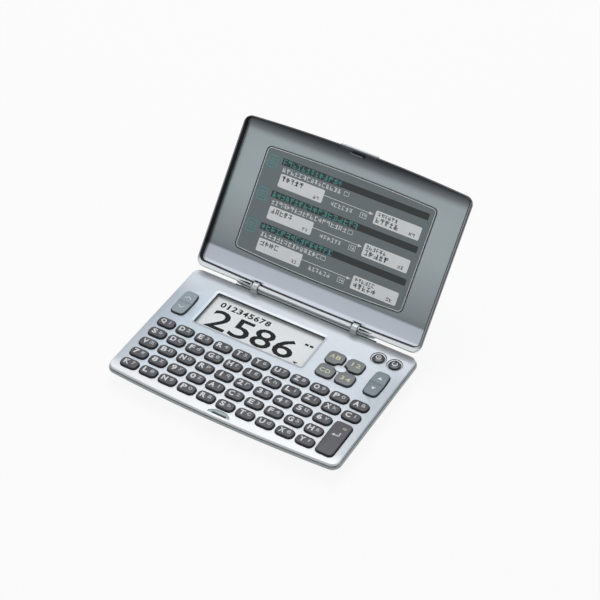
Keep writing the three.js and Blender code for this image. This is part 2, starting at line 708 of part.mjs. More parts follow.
function chips() {
  const top = board.underside - fit.seat;
  const low = top - chip.thickness;
  const half = chip.controllerWidth / 2;
  const y = rowY(2);
  const controller = block(-half, half, y - half, y + half, low, top);
  const memoryX = columnX(2);
  const memory = block(
    memoryX - chip.memoryWidth / 2, memoryX + chip.memoryWidth / 2,
    y - chip.memoryDepth / 2, y + chip.memoryDepth / 2, low, top);
  const crystal = rodAlongX(
    chip.crystalRadius, chip.crystalRadius, caseScrew.sides,
    -chip.crystalLength / 2, chip.crystalLength / 2)
    .translate([columnX(keys.columns - 3), y, top - chip.crystalRadius]);
  return [
    named('controller_chip', controller, 'chip'),
    named('dictionary_memory_chip', memory, 'chip'),
    named('clock_crystal', crystal, 'steel'),
  ];
}

// Battery bay

function coinCell(x, index) {
  const r = cell.radius;
  const round = cell.edgeRound;
  return named(`coin_cell_${index + 1}`, turned([
    [0, cellBottom], [r - round, cellBottom], [r, cellBottom + round], [r, cellTop - round],
    [r - round, cellTop], [0, cellTop],
  ], cell.sides, x, displayY), 'steel');
}

// A spring strip from the board's edge over the middle of a cell
function cellSpring(x, index) {
  const far = displayY + bayHalfDepth - contact.endGap;
  return named(`battery_spring_${index + 1}`, block(
    x - contact.width / 2, x + contact.width / 2, far - contact.reach, far,
    cellTop + fit.seat, cellTop + fit.seat + contact.thickness), 'steel');
}

// A plate between a cell's rim and the bay's front wall
function sideContact(x, index) {
  const y = displayY - cell.radius - (bay.clearance + contact.sideThickness) / 2;
  return named(`battery_side_contact_${index + 1}`, block(
    x - contact.sideWidth / 2, x + contact.sideWidth / 2, y, y + contact.sideThickness,
    cellBottom, cellBottom + contact.tabHeight), 'steel');
}

function coverOutline(grow, bottom, top) {
  const left = bayX - bayHalfWidth - bay.coverLap - grow;
  const right = coverRight + grow;
  const half = bayHalfDepth + bay.coverLap + grow;
  const points = roundedRect(right - left, 2 * half, bay.cornerRadius + grow, keys.cornerSteps)
    .map((p) => new THREE.Vector2(p.x + (left + right) / 2, p.y + displayY));
  return prism(points, bottom, top);
}

function batteryCover() {
  const body = coverOutline(0, 0, bay.coverThickness)
    .subtract(post(hinge.pinBore, caseScrew.sides, coverScrewX, displayY, -fit.overrun, caseHeight))
    .subtract(post(
      caseScrew.headRadius + fit.seat, caseScrew.sides, coverScrewX, displayY,
      -fit.overrun, bay.coverThickness / 2));
  return named('battery_cover', body, 'case');
}

function screw(name, x, y, headBottom, headHeight, shankRadius, tip) {
  const body = turned([
    [0, headBottom], [caseScrew.headRadius, headBottom],
    [caseScrew.headRadius, headBottom + headHeight],
    [shankRadius, headBottom + headHeight], [shankRadius, tip], [0, tip],
  ], caseScrew.sides, x, y);
  return named(name, body, 'steel');
}

function fasteners() {
  const tip = plateUnderside - caseScrew.tipGap;
  const head = caseScrew.recess - fit.seat - caseScrew.headHeight;
  const pieces = screwPlaces.map(([x, y], index) => screw(
    `case_screw_${index + 1}`, x, y, head, caseScrew.headHeight, caseScrew.shankRadius, tip));
  pieces.push(screw(
    'battery_cover_screw', coverScrewX, displayY, 0, bay.coverThickness / 2 - fit.seat,
    hinge.pinRadius, bayWallTop - 2 * fit.loose));
  return pieces;
}

function rubberFoot([x, y], index) {
  return named(`rubber_foot_${index + 1}`, post(
    foot.radius, foot.sides, x, y, -foot.proud, foot.pocket - fit.seat), 'rubber');
}

// Lid, drawn flat: X across, Y from the hinge axis to the free edge, Z towards the lid's inside

const lidForm = {
  halfWidth, front: lidHingeEdge, back: lidFreeEdge, frontBow: lid.hingeBow, backBow: base.frontBow,
  radius: lid.cornerRadius,
};
const recessForm = {
  halfWidth: halfWidth - lid.rim, front: lidHingeEdge + lid.hingeRim, back: lidFreeEdge - lid.rim,
  frontBow: lid.hingeBow, backBow: base.frontBow, radius: lid.cornerRadius - lid.rim,
};
const guideForm = {
  halfWidth: halfWidth - guide.sideMargin, front: guide.hingeMargin,
  back: lidFreeEdge - guide.freeMargin,
  frontBow: guide.bow, backBow: guide.bow, radius: guide.cornerRadius,
};

// Room for the base's two knuckles, cut from both halves of the lid
function lugClearance(side) {
  const half = hinge.lugWidth / 2 + fit.loose;
  const wide = hinge.lugRadius + 2 * fit.loose;
  const x = side * hinge.lugPlace;
  return rodAlongX(wide, wide, hinge.sides, x - half, x + half);
}

function hingeBores() {
  const end = hinge.lugPlace + (hinge.pinLength + fit.loose) / 2;
  const start = hinge.lugPlace - (hinge.pinLength + fit.loose) / 2;
  return [
    rodAlongX(hinge.pinBore, hinge.pinBore, hinge.sides, start, end),
    rodAlongX(hinge.pinBore, hinge.pinBore, hinge.sides, -end, -start),
  ];
}

// The long barrel between the knuckles, and a tapering ear outside each of them
function hingeBarrel() {
  const inner = hinge.lugPlace - hinge.lugWidth / 2 - fit.loose;
  const outer = hinge.lugPlace + hinge.lugWidth / 2 + fit.loose;
  const tip = outer + hinge.earLength;
  const bend = outer + hinge.earLength / 4;
  const r = hinge.barrelRadius;
  return [
    rodAlongX(r, r, hinge.sides, -inner, inner),
    rodAlongX(r, r, hinge.sides, outer, bend),
    rodAlongX(r, hinge.earTip, hinge.sides, bend, tip),
    rodAlongX(r, r, hinge.sides, -bend, -outer),
    rodAlongX(hinge.earTip, r, hinge.sides, -tip, -bend),
  ];
}

// The floor slopes up to the hinge rim, and sweeps up in a curve to the free rim
function floorSlopes() {
  const low = lidFloor - lid.sweepSink;
  const hingeEnd = lidHingeEdge + lid.hingeRim;
  const freeEnd = lidFreeEdge - lid.rim;
  const ramp = [
    new THREE.Vector2(hingeEnd - lid.hingeRim / 2, low),
    new THREE.Vector2(hingeEnd + lid.rampLength, low),
    new THREE.Vector2(hingeEnd + lid.rampLength, lidFloor),
    new THREE.Vector2(hingeEnd - lid.hingeRim / 2, lidFloor + lid.rampRise),
  ];
  const sweep = [new THREE.Vector2(freeEnd - lid.sweepLength, low), new THREE.Vector2(freeEnd, low)];
  for (let step = steps.arc; step >= 0; step -= 1) {
    const share = step / steps.arc;
    sweep.push(new THREE.Vector2(
      freeEnd - lid.sweepLength * (1 - share), lidFloor + lid.sweepRise * share * share));
  }
  const walls = prism(bowedOutline(lidForm, lid.rim / 2), low, rimHeight - lid.edgeRound);
  return [ramp, sweep].map((points) => barAlongX(points, -halfWidth, halfWidth).intersect(walls));
}

function lidInnerFrame() {
  const nest = lidBack + lid.coverPlate + lid.coverGap;
  const outside = loft([
    { points: bowedOutline(lidForm, lid.nestInset), z: nest },
    { points: bowedOutline(lidForm, lid.nestInset), z: splitHeight },
    { points: bowedOutline(lidForm, lid.flankInset), z: splitHeight },
    { points: bowedOutline(lidForm, 0), z: rimHeight - 2 * lid.edgeRound },
    { points: bowedOutline(lidForm, lid.edgeRound), z: rimHeight },
  ]);
  const recess = loft([
    { points: bowedOutline(recessForm, lid.flankInset), z: lidFloor },
    { points: bowedOutline(recessForm, 0), z: lidFloor + 2 * lid.flankInset },
    { points: bowedOutline(recessForm, 0), z: rimHeight + fit.overrun },
  ]);
  const pocket = prism(bowedOutline(guideForm, -guide.clearance), lidFloor - guide.pocket, rimHeight);
  const lipY = lidFreeEdge - lid.rim / 2;
  const lip = block(
    -lid.lipWidth / 2, lid.lipWidth / 2, lipY, lidFreeEdge + lid.lipDepth,
    rimHeight - 2 * lid.edgeRound - lid.lipThickness, rimHeight - 2 * lid.edgeRound);
  const hookPlace = backY - catchY;
  const hook = block(
    -latch.hookWidth / 2, latch.hookWidth / 2, hookPlace - latch.hookThickness / 2,
    hookPlace + latch.hookThickness / 2, lidFloor - fit.seat, rimHeight + latch.hookReach);
  let body = joined(outside.subtract(recess), ...floorSlopes()).subtract(pocket);
  body = joined(body, lip, hook, ...hingeBarrel());
  [lugClearance(-1), lugClearance(1), ...hingeBores()].forEach((cut) => {
    body = body.subtract(cut);
  });
  return named('lid_inner_frame', body, 'lidSilver');
}

function lidOuterCover() {
  const top = splitHeight - lid.splitGap;
  const rings = [];
  for (let step = 0; step <= steps.round; step += 1) {
    const angle = (Math.PI / 2) * (step / steps.round);
    rings.push({
      points: bowedOutline(lidForm, lid.flankInset + lid.coverRound * (1 - Math.sin(angle))),
      z: lidBack + (top - lidBack) * (1 - Math.cos(angle)),
    });
  }
  const inside = prism(
    bowedOutline(lidForm, lid.nestInset - fit.loose), lidBack + lid.coverPlate, top + fit.overrun);
  let body = loft(rings).subtract(inside);
  [lugClearance(-1), lugClearance(1)].forEach((cut) => {
    body = body.subtract(cut);
  });
  const barrelRoom = rodAlongX(
    hinge.barrelRadius + fit.loose, hinge.barrelRadius + fit.loose, hinge.sides, -halfWidth, halfWidth);
  return named('lid_outer_cover', body.subtract(barrelRoom), 'lidSilver');
}

function guidePlate() {
  const plate = prism(bowedOutline(guideForm, 0), lidFloor - guide.thickness, lidFloor);
  return named('guide_plate', plate, 'guide');
}

function hingePin(name, side) {
  const x = side * hinge.lugPlace;
  const pin = rodAlongX(
    hinge.pinRadius, hinge.pinRadius, caseScrew.sides,
    x - hinge.pinLength / 2, x + hinge.pinLength / 2);
  return named(name, pin, 'steel');
}

function lidGroup() {
  const group = new THREE.Group();
  group.add(
    lidInnerFrame(), lidOuterCover(), guidePlate(),
    hingePin('hinge_pin_left', -1), hingePin('hinge_pin_right', 1));
  group.position.set(0, backY, caseHeight + hinge.rise);
  group.rotation.x = THREE.MathUtils.degToRad(180 - lid.openDegrees);
  return group;
}

function baseGroup() {
  const group = new THREE.Group();
  group.add(lowerCase(), keyboardFascia(), displayWindow(), lcdGlass(), lcdHolder(), contactStrip());
  group.add(mainBoard(), domeMat(), ...chips(), batteryCover(), ...fasteners());
  group.add(...cellXs.map(coinCell), ...cellXs.map(cellSpring), ...cellXs.map(sideContact));
  group.add(...footPlaces().map(rubberFoot));
  for (let row = 0; row < keys.rows; row += 1) group.add(letterKeyRow(row));
  group.add(enterKey(), ...modePlaces.map(modeKey), ...roundXs.map(roundButton));
  group.add(rockerKey('left_rocker', -rockerX), rockerKey('right_rocker', rockerX));
  return group;
}

const dictionary = new THREE.Group();
dictionary.add(baseGroup(), lidGroup());

export default dictionary;
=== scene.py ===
# %% [markdown]
# # A pocket electronic dictionary, dressed piece by piece
# The packed CAD model is the fixed frame: it says where every part sits and how it moves. This
# script builds the outside of each visible part again with finer edges, gives every part a
# moulded, painted or printed finish, and hangs each new piece on the CAD body that carries it.

# %% Load the packed model
import math
import random

import bmesh
import bpy
from mathutils import Matrix, Vector
from mathutils.bvhtree import BVHTree
from mathutils.geometry import tessellate_polygon


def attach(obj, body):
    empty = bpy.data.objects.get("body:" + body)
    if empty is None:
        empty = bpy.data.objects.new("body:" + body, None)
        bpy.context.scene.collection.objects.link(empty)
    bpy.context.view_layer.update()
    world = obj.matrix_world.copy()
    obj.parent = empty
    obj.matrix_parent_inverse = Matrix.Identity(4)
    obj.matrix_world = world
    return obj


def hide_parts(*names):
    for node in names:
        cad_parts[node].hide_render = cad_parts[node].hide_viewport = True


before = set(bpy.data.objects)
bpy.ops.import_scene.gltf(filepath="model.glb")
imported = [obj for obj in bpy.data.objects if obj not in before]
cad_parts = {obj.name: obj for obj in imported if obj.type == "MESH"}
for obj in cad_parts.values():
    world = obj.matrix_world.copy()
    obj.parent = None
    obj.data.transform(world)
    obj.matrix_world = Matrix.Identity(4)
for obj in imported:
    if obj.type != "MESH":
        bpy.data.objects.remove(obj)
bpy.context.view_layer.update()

# %% [markdown]
# ## The camera
# The camera stands in front and to the right, well above the table, with a long lens. Its place
# was fitted to the regular grid of keys, and the lens follows from the same fit.

# %% Camera
MM = 0.001
CAMERA_PLACE = Vector((326.07, -514.46, 636.52)) * MM
AZIMUTH, ELEVATION = math.radians(30.72), math.radians(43.97)
LENS, SENSOR = 115.62, 36.0

towards_camera = Vector((
    math.sin(AZIMUTH) * math.cos(ELEVATION), -math.cos(AZIMUTH) * math.cos(ELEVATION),
    math.sin(ELEVATION)))
view = bpy.data.cameras.new("camera")
view.lens, view.sensor_width = LENS, SENSOR
camera = bpy.data.objects.new("camera", view)
camera.location = CAMERA_PLACE
camera.rotation_euler = (-towards_camera).to_track_quat("-Z", "Y").to_euler()
bpy.context.scene.collection.objects.link(camera)
bpy.context.scene.camera = camera
bpy.context.scene.view_settings.view_transform = "Standard"
print("camera at", [round(v, 3) for v in camera.location])

# %% [markdown]
# ## Light
# A studio shot on white: one broad lamp overhead and behind lights the keyboard and leaves the
# inside of the lid in half shade. A weak lamp in front opens the shadows a little.


# %% Two soft lamps
def soft_lamp(name, place, aim, size, watts):
    data = bpy.data.lights.new(name, "AREA")
    data.size, data.energy = size, watts
    lamp = bpy.data.objects.new(name, data)
    lamp.location = place
    lamp.rotation_euler = (Vector(aim) - Vector(place)).to_track_quat("-Z", "Y").to_euler()
    bpy.context.scene.collection.objects.link(lamp)
    print(name, size, "m wide,", watts, "W")


soft_lamp("overhead_lamp", (-0.15, 0.38, 0.95), (0, 0, 0), 0.7, 4.9)
soft_lamp("front_lamp", (-0.35, -0.75, 0.55), (0, 0, 0.02), 0.6, 0.6)

# %% [markdown]
# ## Nodes
# The world and every finish are built from shader nodes. A short helper adds one node, sets its
# values and links what flows into it, so that a finish reads as a list of steps. A second one
# starts a material, and a third makes a thing white where it is only seen, and leaves it plain
# where it is lit.


# %% Helpers for nodes
def add_node(tree, kind, inputs=(), **settings):
    """Inputs are (socket, value), or (socket, another node's output) to be linked."""
    node = tree.nodes.new("ShaderNode" + kind)
    for name, value in settings.items():
        setattr(node, name, value)
    for socket, value in inputs:
        if isinstance(value, bpy.types.NodeSocket):
            tree.links.new(value, node.inputs[socket])
        else:
            node.inputs[socket].default_value = value
    return node


def new_material(name):
    material = bpy.data.materials.new(name)
    material.use_nodes = True
    return material, material.node_tree, material.node_tree.nodes["Principled BSDF"]


def white_when_seen(tree, seen_strength, lit_shader, output):
    """Camera, mirror and glass rays see white; all other rays meet the lit shader."""
    path = add_node(tree, "LightPath")
    seen = path.outputs["Is Camera Ray"]
    for ray in ("Is Glossy Ray", "Is Transmission Ray"):
        seen = add_node(tree, "Math", [(0, seen), (1, path.outputs[ray])],
                        operation="MAXIMUM").outputs[0]
    share = add_node(tree, "Math", [(0, seen), (1, seen_strength)], operation="MULTIPLY")
    white = add_node(tree, "Emission", [("Strength", 1.0)])
    mix = add_node(tree, "MixShader", [
        (0, share.outputs[0]), (1, lit_shader), (2, white.outputs[0])])
    tree.links.new(mix.outputs[0], output)


print("helpers ready: add_node, new_material, white_when_seen")

# %% [markdown]
# ## World and floor
# The world gives a weak, slightly cool light from all sides. The floor is white to the camera and
# to reflections, and keeps a faint part of the object's shadow.

# %% World and floor
ROOM_STRENGTH, ROOM_SEEN, FLOOR_SEEN = 0.3, 1.0, 0.9
FLOOR_DROP, FLOOR_REACH = 0.5 * MM, 3.0
world = bpy.data.worlds.new("studio")
world.use_nodes = True
bpy.context.scene.world = world
room_light = world.node_tree.nodes["Background"]
room_light.inputs["Color"].default_value = (0.95, 0.97, 1.0, 1)
room_light.inputs["Strength"].default_value = ROOM_STRENGTH
white_when_seen(world.node_tree, ROOM_SEEN, room_light.outputs[0],
                world.node_tree.nodes["World Output"].inputs["Surface"])

floor_paint, floor_tree, floor_shader = new_material("floor_white")
floor_shader.inputs["Base Color"].default_value = (0.9, 0.9, 0.9, 1)
floor_shader.inputs["Roughness"].default_value = 0.9
white_when_seen(floor_tree, FLOOR_SEEN, floor_shader.outputs[0],
                floor_tree.nodes["Material Output"].inputs["Surface"])


def flat_panel(name, corners, paint):
    mesh = bpy.data.meshes.new(name)
    mesh.from_pydata(corners, [], [(0, 1, 2, 3)])
    mesh.materials.append(paint)
    panel = bpy.data.objects.new(name, mesh)
    bpy.context.scene.collection.objects.link(panel)
    return panel


floor = flat_panel("floor", [(x * FLOOR_REACH, y * FLOOR_REACH, -FLOOR_DROP)
                             for x, y in [(-1, -1), (1, -1), (1, 1), (-1, 1)]], floor_paint)
print("floor", round(FLOOR_DROP / MM, 2), "mm below the case, touching the rubber feet")

# %% [markdown]
# Metallic paint is only as interesting as what it mirrors. A low dark card stands in front of the
# object, as in a studio. Only reflections see it: it darkens the band in the lid where the floor
# of the lid curves up to its free edge, on top of the shade painted into the lid there.

# %% The dark card
CARD_LEFT, CARD_RIGHT, CARD_Y, CARD_HIGH = -520 * MM, 160 * MM, -170 * MM, 66 * MM
card_paint, _, card_shader = new_material("studio_card_dark")
card_shader.inputs["Base Color"].default_value = (0.01, 0.01, 0.012, 1)
card_shader.inputs["Roughness"].default_value = 1.0
studio_card = flat_panel("studio_card", [
    (CARD_LEFT, CARD_Y, 0), (CARD_RIGHT, CARD_Y, 0),
    (CARD_RIGHT, CARD_Y, CARD_HIGH), (CARD_LEFT, CARD_Y, CARD_HIGH)], card_paint)
studio_card.visible_camera = studio_card.visible_diffuse = studio_card.visible_shadow = False
print("dark card", round(CARD_HIGH / MM), "mm high")

# %% [markdown]
# ## Finishes
# Most of the object is moulded plastic, bare or painted silver. A moulded surface is never one
# flat colour: it has a fine grain, slow changes of tone, and uneven gloss where fingers rub it.
# One helper builds that from two noises, so every finish below only names its colour and grain.

# %% The helper for moulded and painted plastic
FLAKE_SIZE, COAT_ROUGHNESS, BUMP_STRENGTH = 0.16, 0.12, 0.6
SLOW_DETAIL, FINE_DETAIL, DARKER_AT, LIGHTER_AT = 3.0, 1.0, 0.3, 0.7


def srgb(red, green, blue):
    """A colour as the eye names it, 0 to 255, turned into the light values that Blender mixes."""
    return tuple(((v / 255 + 0.055) / 1.055) ** 2.4 if v > 10 else v / 255 / 12.92
                 for v in (red, green, blue))


def moulded(name, colour, roughness, metallic, tone, tone_size, grain, grain_height,
            gloss_change=0.06, coat=0.0, speckle=0.0, specular=None):
    """Sizes in millimetres; tone is how far the colour drifts over patches of tone_size."""
    material, tree, shader = new_material(name)
    steady = [("Metallic", metallic), ("Coat Weight", coat), ("Coat Roughness", COAT_ROUGHNESS)]
    if specular is not None:
        steady.append(("Specular IOR Level", specular))
    for socket, value in steady:
        shader.inputs[socket].default_value = value
    place = add_node(tree, "TexCoord").outputs["Object"]
    slow, fine = [add_node(tree, "TexNoise", [
        ("Scale", 1 / (size * MM)), ("Detail", detail), ("Vector", place)])
        for size, detail in ((tone_size, SLOW_DETAIL), (grain, FINE_DETAIL))]
    ramp = add_node(tree, "ValToRGB", [("Fac", slow.outputs["Fac"])])
    for stop, spot, factor in zip(
            ramp.color_ramp.elements, (DARKER_AT, LIGHTER_AT), (1 - tone, 1 + tone)):
        stop.position, stop.color = spot, [min(c * factor, 1.0) for c in srgb(*colour)] + [1]
    tint = ramp.outputs["Color"]
    if speckle:
        flakes = add_node(tree, "TexVoronoi", [
            ("Scale", 1 / (FLAKE_SIZE * MM)), ("Vector", place)])
        tint = add_node(tree, "Mix", [(0, speckle), (6, tint), (7, flakes.outputs["Color"])],
                        data_type="RGBA", blend_type="OVERLAY").outputs[2]
    gloss = add_node(tree, "MapRange", [
        ("To Min", roughness - gloss_change), ("To Max", roughness + gloss_change),
        ("Value", slow.outputs["Fac"])])
    bump = add_node(tree, "Bump", [
        ("Distance", grain_height * MM), ("Strength", BUMP_STRENGTH),
        ("Height", fine.outputs["Fac"])])
    for output, socket in ((tint, "Base Color"), (gloss.outputs["Result"], "Roughness"),
                           (bump.outputs["Normal"], "Normal")):
        tree.links.new(output, shader.inputs[socket])
    return material


print("flakes of the silver paint:", FLAKE_SIZE, "mm")

# %% [markdown]
# Light and shade are also painted into the silver paint over a large part. A second helper paints
# them along a line: each stop says what colour it has how far along. The finish itself is given
# in its lightest colour. A change of tone can be kept to a part of the object by a second line,
# whose stops say how much of it shows.


# %% The helper for painted light and shade along a line
def ramp_along(tree, origin, along, stops):
    """Stops are (millimetres along the line, light values); the line starts at origin."""
    place = add_node(tree, "TexCoord").outputs["Object"]
    away = add_node(tree, "VectorMath", [(0, place), (1, Vector(origin) * MM)],
                    operation="SUBTRACT").outputs["Vector"]
    reach = add_node(tree, "VectorMath", [(0, away), (1, along)],
                     operation="DOT_PRODUCT").outputs["Value"]
    first, last = stops[0][0], stops[-1][0]
    share = add_node(tree, "MapRange", [
        ("From Min", first * MM), ("From Max", last * MM), ("Value", reach)])
    ramp = add_node(tree, "ValToRGB", [("Fac", share.outputs["Result"])])
    while len(ramp.color_ramp.elements) < len(stops):
        ramp.color_ramp.elements.new(0.5)
    for stop, (distance, values) in zip(ramp.color_ramp.elements, stops):
        stop.position, stop.color = (distance - first) / (last - first), [*values, 1]
    return ramp.outputs["Color"]


def paint_light_and_shade(material, base, origin, along, stops, across=None, shares=()):
    """Stops are (millimetres, colour); shares are (millimetres, how much of the change shows)."""
    tree = material.node_tree
    shader = tree.nodes["Principled BSDF"]
    painted = shader.inputs["Base Color"].links[0].from_socket
    tones = ramp_along(tree, origin, along, [
        (distance, [part / most for part, most in zip(srgb(*colour), srgb(*base))])
        for distance, colour in stops])
    shown = ramp_along(tree, origin, across, [(d, [s] * 3) for d, s in shares]) if across else 1.0
    shaded = add_node(tree, "Mix", [(0, shown), (6, painted), (7, tones)],
                      data_type="RGBA", blend_type="MULTIPLY")
    tree.links.new(shaded.outputs[2], shader.inputs["Base Color"])


print("light value of a middle grey:", round(srgb(128, 128, 128)[0], 3))

# %% [markdown]
# The paint on the keyboard plate and in the lid is silver: a clear binder with metal flakes. It
# is part metallic with a soft gloss, so it turns dark where it mirrors something dark. Light and
# shade are painted into it as well. The plate has painted shade towards its sides and back, and
# is painted lighter at its front and just before the hinge. The lid's floor has a painted bright
# band and highlight by the hinge, a painted dark line above them, and painted shade that deepens
# towards the free edge. The lid's rim has a painted highlight by the hinge, painted shade towards
# the free edge, and a painted highlight between painted dark lines along its right edge.

# %% Silver paints
CENTRE, TO_THE_RIGHT, TO_THE_BACK = (0, 0, 0), (1, 0, 0), (0, 1, 0)
HINGE_Y, HINGE_Z, OPEN_ANGLE = 39.0, 11.5, 129.8
LID_LEAN = math.radians(180 - OPEN_ANGLE)
LID_HINGE, UP_THE_LID = (0, HINGE_Y, HINGE_Z), (0, math.cos(LID_LEAN), math.sin(LID_LEAN))
FASCIA_TONE, LID_TONE, RIM_TONE = (226, 229, 232), (191, 198, 208), (218, 223, 226)
WHITE, MIDDLE_GREY, PAINTED_SHADE_LINE, PAINTED_HIGHLIGHT_LINE = (255,) * 3, (188,) * 3, (80,) * 3, (250,) * 3
PAINTED_OUTER_SHADE = (100,) * 3

# colour, roughness, metallic, drift of tone and its size, size of the grain and its height
fascia_silver = moulded("fascia_silver", FASCIA_TONE, 0.36, 0.3, 0.02, 30, 0.3, 0.004,
                        speckle=0.04)
# painted shade towards the back of the plate, painted light at its front and just before the hinge
paint_light_and_shade(fascia_silver, FASCIA_TONE, CENTRE, TO_THE_BACK, [
    (-40, (221, 224, 226)), (-34, (219, 222, 225)), (-28, (210, 214, 219)), (5, (196, 203, 211)),
    (15, (198, 205, 213)), (30, (206, 213, 220)), (35, (212, 217, 223)), (37.5, (238, 241, 244)),
    (40, (244, 247, 250))])
# painted shade towards the left and right sides of the plate
paint_light_and_shade(fascia_silver, WHITE, CENTRE, TO_THE_RIGHT, [
    (-60, (209, 213, 216)), (-50, (226, 232, 237)), (-46, (236, 243, 249)), (-40, (240, 247, 248)),
    (-30, (247, 248, 250)), (0, WHITE), (24, (253, 254, 254)), (44, (246, 247, 248)),
    (60, (217, 221, 221))],
       across=TO_THE_BACK, shares=[(-34, 0.0), (-29, 1.0), (20, 1.0), (31, 0.35), (38, 0.35)])
case_silver = moulded("case_silver", (169, 177, 178), 0.42, 0.25, 0.03, 20, 0.3, 0.006,
                      speckle=0.05)
lid_silver = moulded("lid_silver", LID_TONE, 0.3, 0.8, 0.02, 25, 0.3, 0.003, speckle=0.05)
# painted light and shade on the lid's floor: a bright band and highlight by the hinge, a dark line
# above it, and shade deepening towards the free edge
paint_light_and_shade(lid_silver, LID_TONE, LID_HINGE, UP_THE_LID, [
    (0, LID_TONE), (3.8, LID_TONE), (4.6, (161, 167, 175)), (10.9, (156, 162, 171)),
    (11.8, (99, 106, 109)), (15, (108, 116, 119)), (25, (121, 129, 132)), (42, (136, 145, 148)),
    (60, (137, 146, 149)), (68.3, (134, 143, 146)), (69.4, (129, 137, 141)),
    (70.4, (118, 125, 129)), (71.3, (105, 111, 115)), (72.5, (97, 103, 107)), (74.5, (83, 88, 93)),
    (78, (60, 64, 69))])
rim_silver = moulded("rim_silver", RIM_TONE, 0.34, 0.6, 0.02, 25, 0.3, 0.003, speckle=0.05)
# painted highlight on the rim by the hinge, and painted shade towards the free edge
paint_light_and_shade(rim_silver, RIM_TONE, LID_HINGE, UP_THE_LID, [
    (-0.6, (104, 108, 112)), (-0.1, (116, 120, 124)), (0.25, RIM_TONE), (2.4, (208, 213, 216)),
    (4.5, (122, 125, 129)), (70, (112, 114, 118)), (75, (68, 70, 74)), (78, (58, 60, 64))])
# a painted highlight between painted dark lines along the rim's right edge
paint_light_and_shade(rim_silver, MIDDLE_GREY, LID_HINGE, TO_THE_RIGHT, [
    (58, MIDDLE_GREY), (58.8, PAINTED_SHADE_LINE), (59.25, PAINTED_SHADE_LINE), (59.45, PAINTED_HIGHLIGHT_LINE),
    (59.65, PAINTED_HIGHLIGHT_LINE), (59.82, PAINTED_OUTER_SHADE), (60.2, PAINTED_OUTER_SHADE)],
       across=UP_THE_LID,
       shares=[(2, 0.0), (8, 0.6), (30, 0.8), (70, 1.0), (76, 0.5), (78, 0.3)])
lid_shell_silver = moulded("lid_shell_silver", (170, 176, 182), 0.36, 0.55, 0.02, 40, 0.3, 0.004,
                           speckle=0.05)
hinge_silver = moulded("hinge_silver", (180, 187, 188), 0.3, 0.4, 0.03, 9, 0.3, 0.004)
print("the lid leans back", round(90 - math.degrees(LID_LEAN), 1), "degrees from upright")

# %% [markdown]
# The keys, the buttons and the card are bare plastic with a satin top, and the sides of each key
# are painted dark as shade from the gap round it. Print and markings are thin matt ink. The panel
# of the display is pale and smooth.

# %% Plastics, inks, rubber and steel
ROCKER_TONE, ROCKER_SHADE_RIGHT, HALF_CASE = (148, 162, 170), (124, 138, 146), 60
recess_shade = moulded("recess_shade", (28, 30, 33), 0.5, 0.0, 0.05, 8, 0.3, 0.003, specular=0.25)
key_black = moulded("key_dark", (57, 58, 65), 0.42, 0.0, 0.06, 6, 0.25, 0.01)
enter_black = moulded("enter_dark", (70, 70, 78), 0.44, 0.0, 0.05, 8, 0.25, 0.01)
# painted shade: a key's sides are dark like the gap round it
key_side_shade = moulded("key_side_shade", (32, 34, 39), 0.5, 0.0, 0.05, 6, 0.25, 0.01)
mode_side_shade = moulded("mode_side_shade", (66, 70, 72), 0.5, 0.0, 0.05, 6, 0.25, 0.01)
mode_grey = moulded("mode_key_grey", (124, 128, 130), 0.46, 0.05, 0.03, 6, 0.25, 0.01)
rocker_grey = moulded("rocker_grey", ROCKER_TONE, 0.44, 0.05, 0.03, 6, 0.25, 0.01)
# painted shade: the rockers are painted darker towards the right
paint_light_and_shade(rocker_grey, ROCKER_TONE, CENTRE, TO_THE_RIGHT, [
    (-HALF_CASE, ROCKER_TONE), (HALF_CASE, ROCKER_SHADE_RIGHT)])
button_black = moulded("button_dark", (48, 50, 56), 0.3, 0.0, 0.05, 4, 0.25, 0.006, coat=0.4)
guide_grey = moulded("guide_grey", (119, 128, 131), 0.5, 0.0, 0.05, 12, 0.4, 0.004)
legend_white = moulded("legend_white", (236, 238, 240), 0.5, 0.0, 0.02, 2, 0.2, 0.002)
legend_dim = moulded("legend_dim", (190, 194, 198), 0.5, 0.0, 0.03, 2, 0.2, 0.002)
legend_yellow = moulded("legend_yellow", (216, 218, 182), 0.5, 0.0, 0.03, 2, 0.2, 0.002)
print_and_shade_black = moulded("print_and_shade_black", (24, 31, 34), 0.5, 0.0, 0.08, 5, 0.3, 0.003)
print_teal = moulded("print_teal", (86, 168, 164), 0.5, 0.0, 0.06, 3, 0.3, 0.003)
print_white = moulded("print_white", (250, 254, 254), 0.5, 0.0, 0.03, 5, 0.3, 0.003)
lcd_face = moulded("lcd_face", (250, 255, 255), 0.3, 0.0, 0.015, 30, 0.5, 0.001)
lcd_ink = moulded("lcd_ink", (14, 16, 19), 0.6, 0.0, 0.08, 3, 0.3, 0.001, specular=0.1)
wall_shade = moulded("wall_shade", (52, 58, 62), 0.5, 0.0, 0.05, 5, 0.3, 0.004)
catch_teal = moulded("catch_teal", (150, 172, 176), 0.3, 0.1, 0.05, 3, 0.3, 0.004)
foot_rubber = moulded("foot_rubber", (48, 50, 52), 0.75, 0.0, 0.1, 3, 0.5, 0.03)
screw_steel = moulded("screw_steel", (176, 178, 182), 0.28, 1.0, 0.06, 2, 0.2, 0.004)
print("finishes so far:", len(bpy.data.materials))

# %% [markdown]
# ## Outlines
# Every shell and key starts as a closed outline seen from above. An outline is a function of how
# far it is grown or shrunk, and always gives the same number of points, so two of them at
# different heights can be joined into a skin. Drawing by outline keeps rounded edges exact.

# %% Outlines as functions
QUARTER, LEAST_RADIUS = math.pi / 2, 0.04


def arc(cx, cy, radius, quarter, steps):
    return [(cx + radius * math.cos(QUARTER * (quarter + k / steps)),
             cy + radius * math.sin(QUARTER * (quarter + k / steps))) for k in range(steps + 1)]


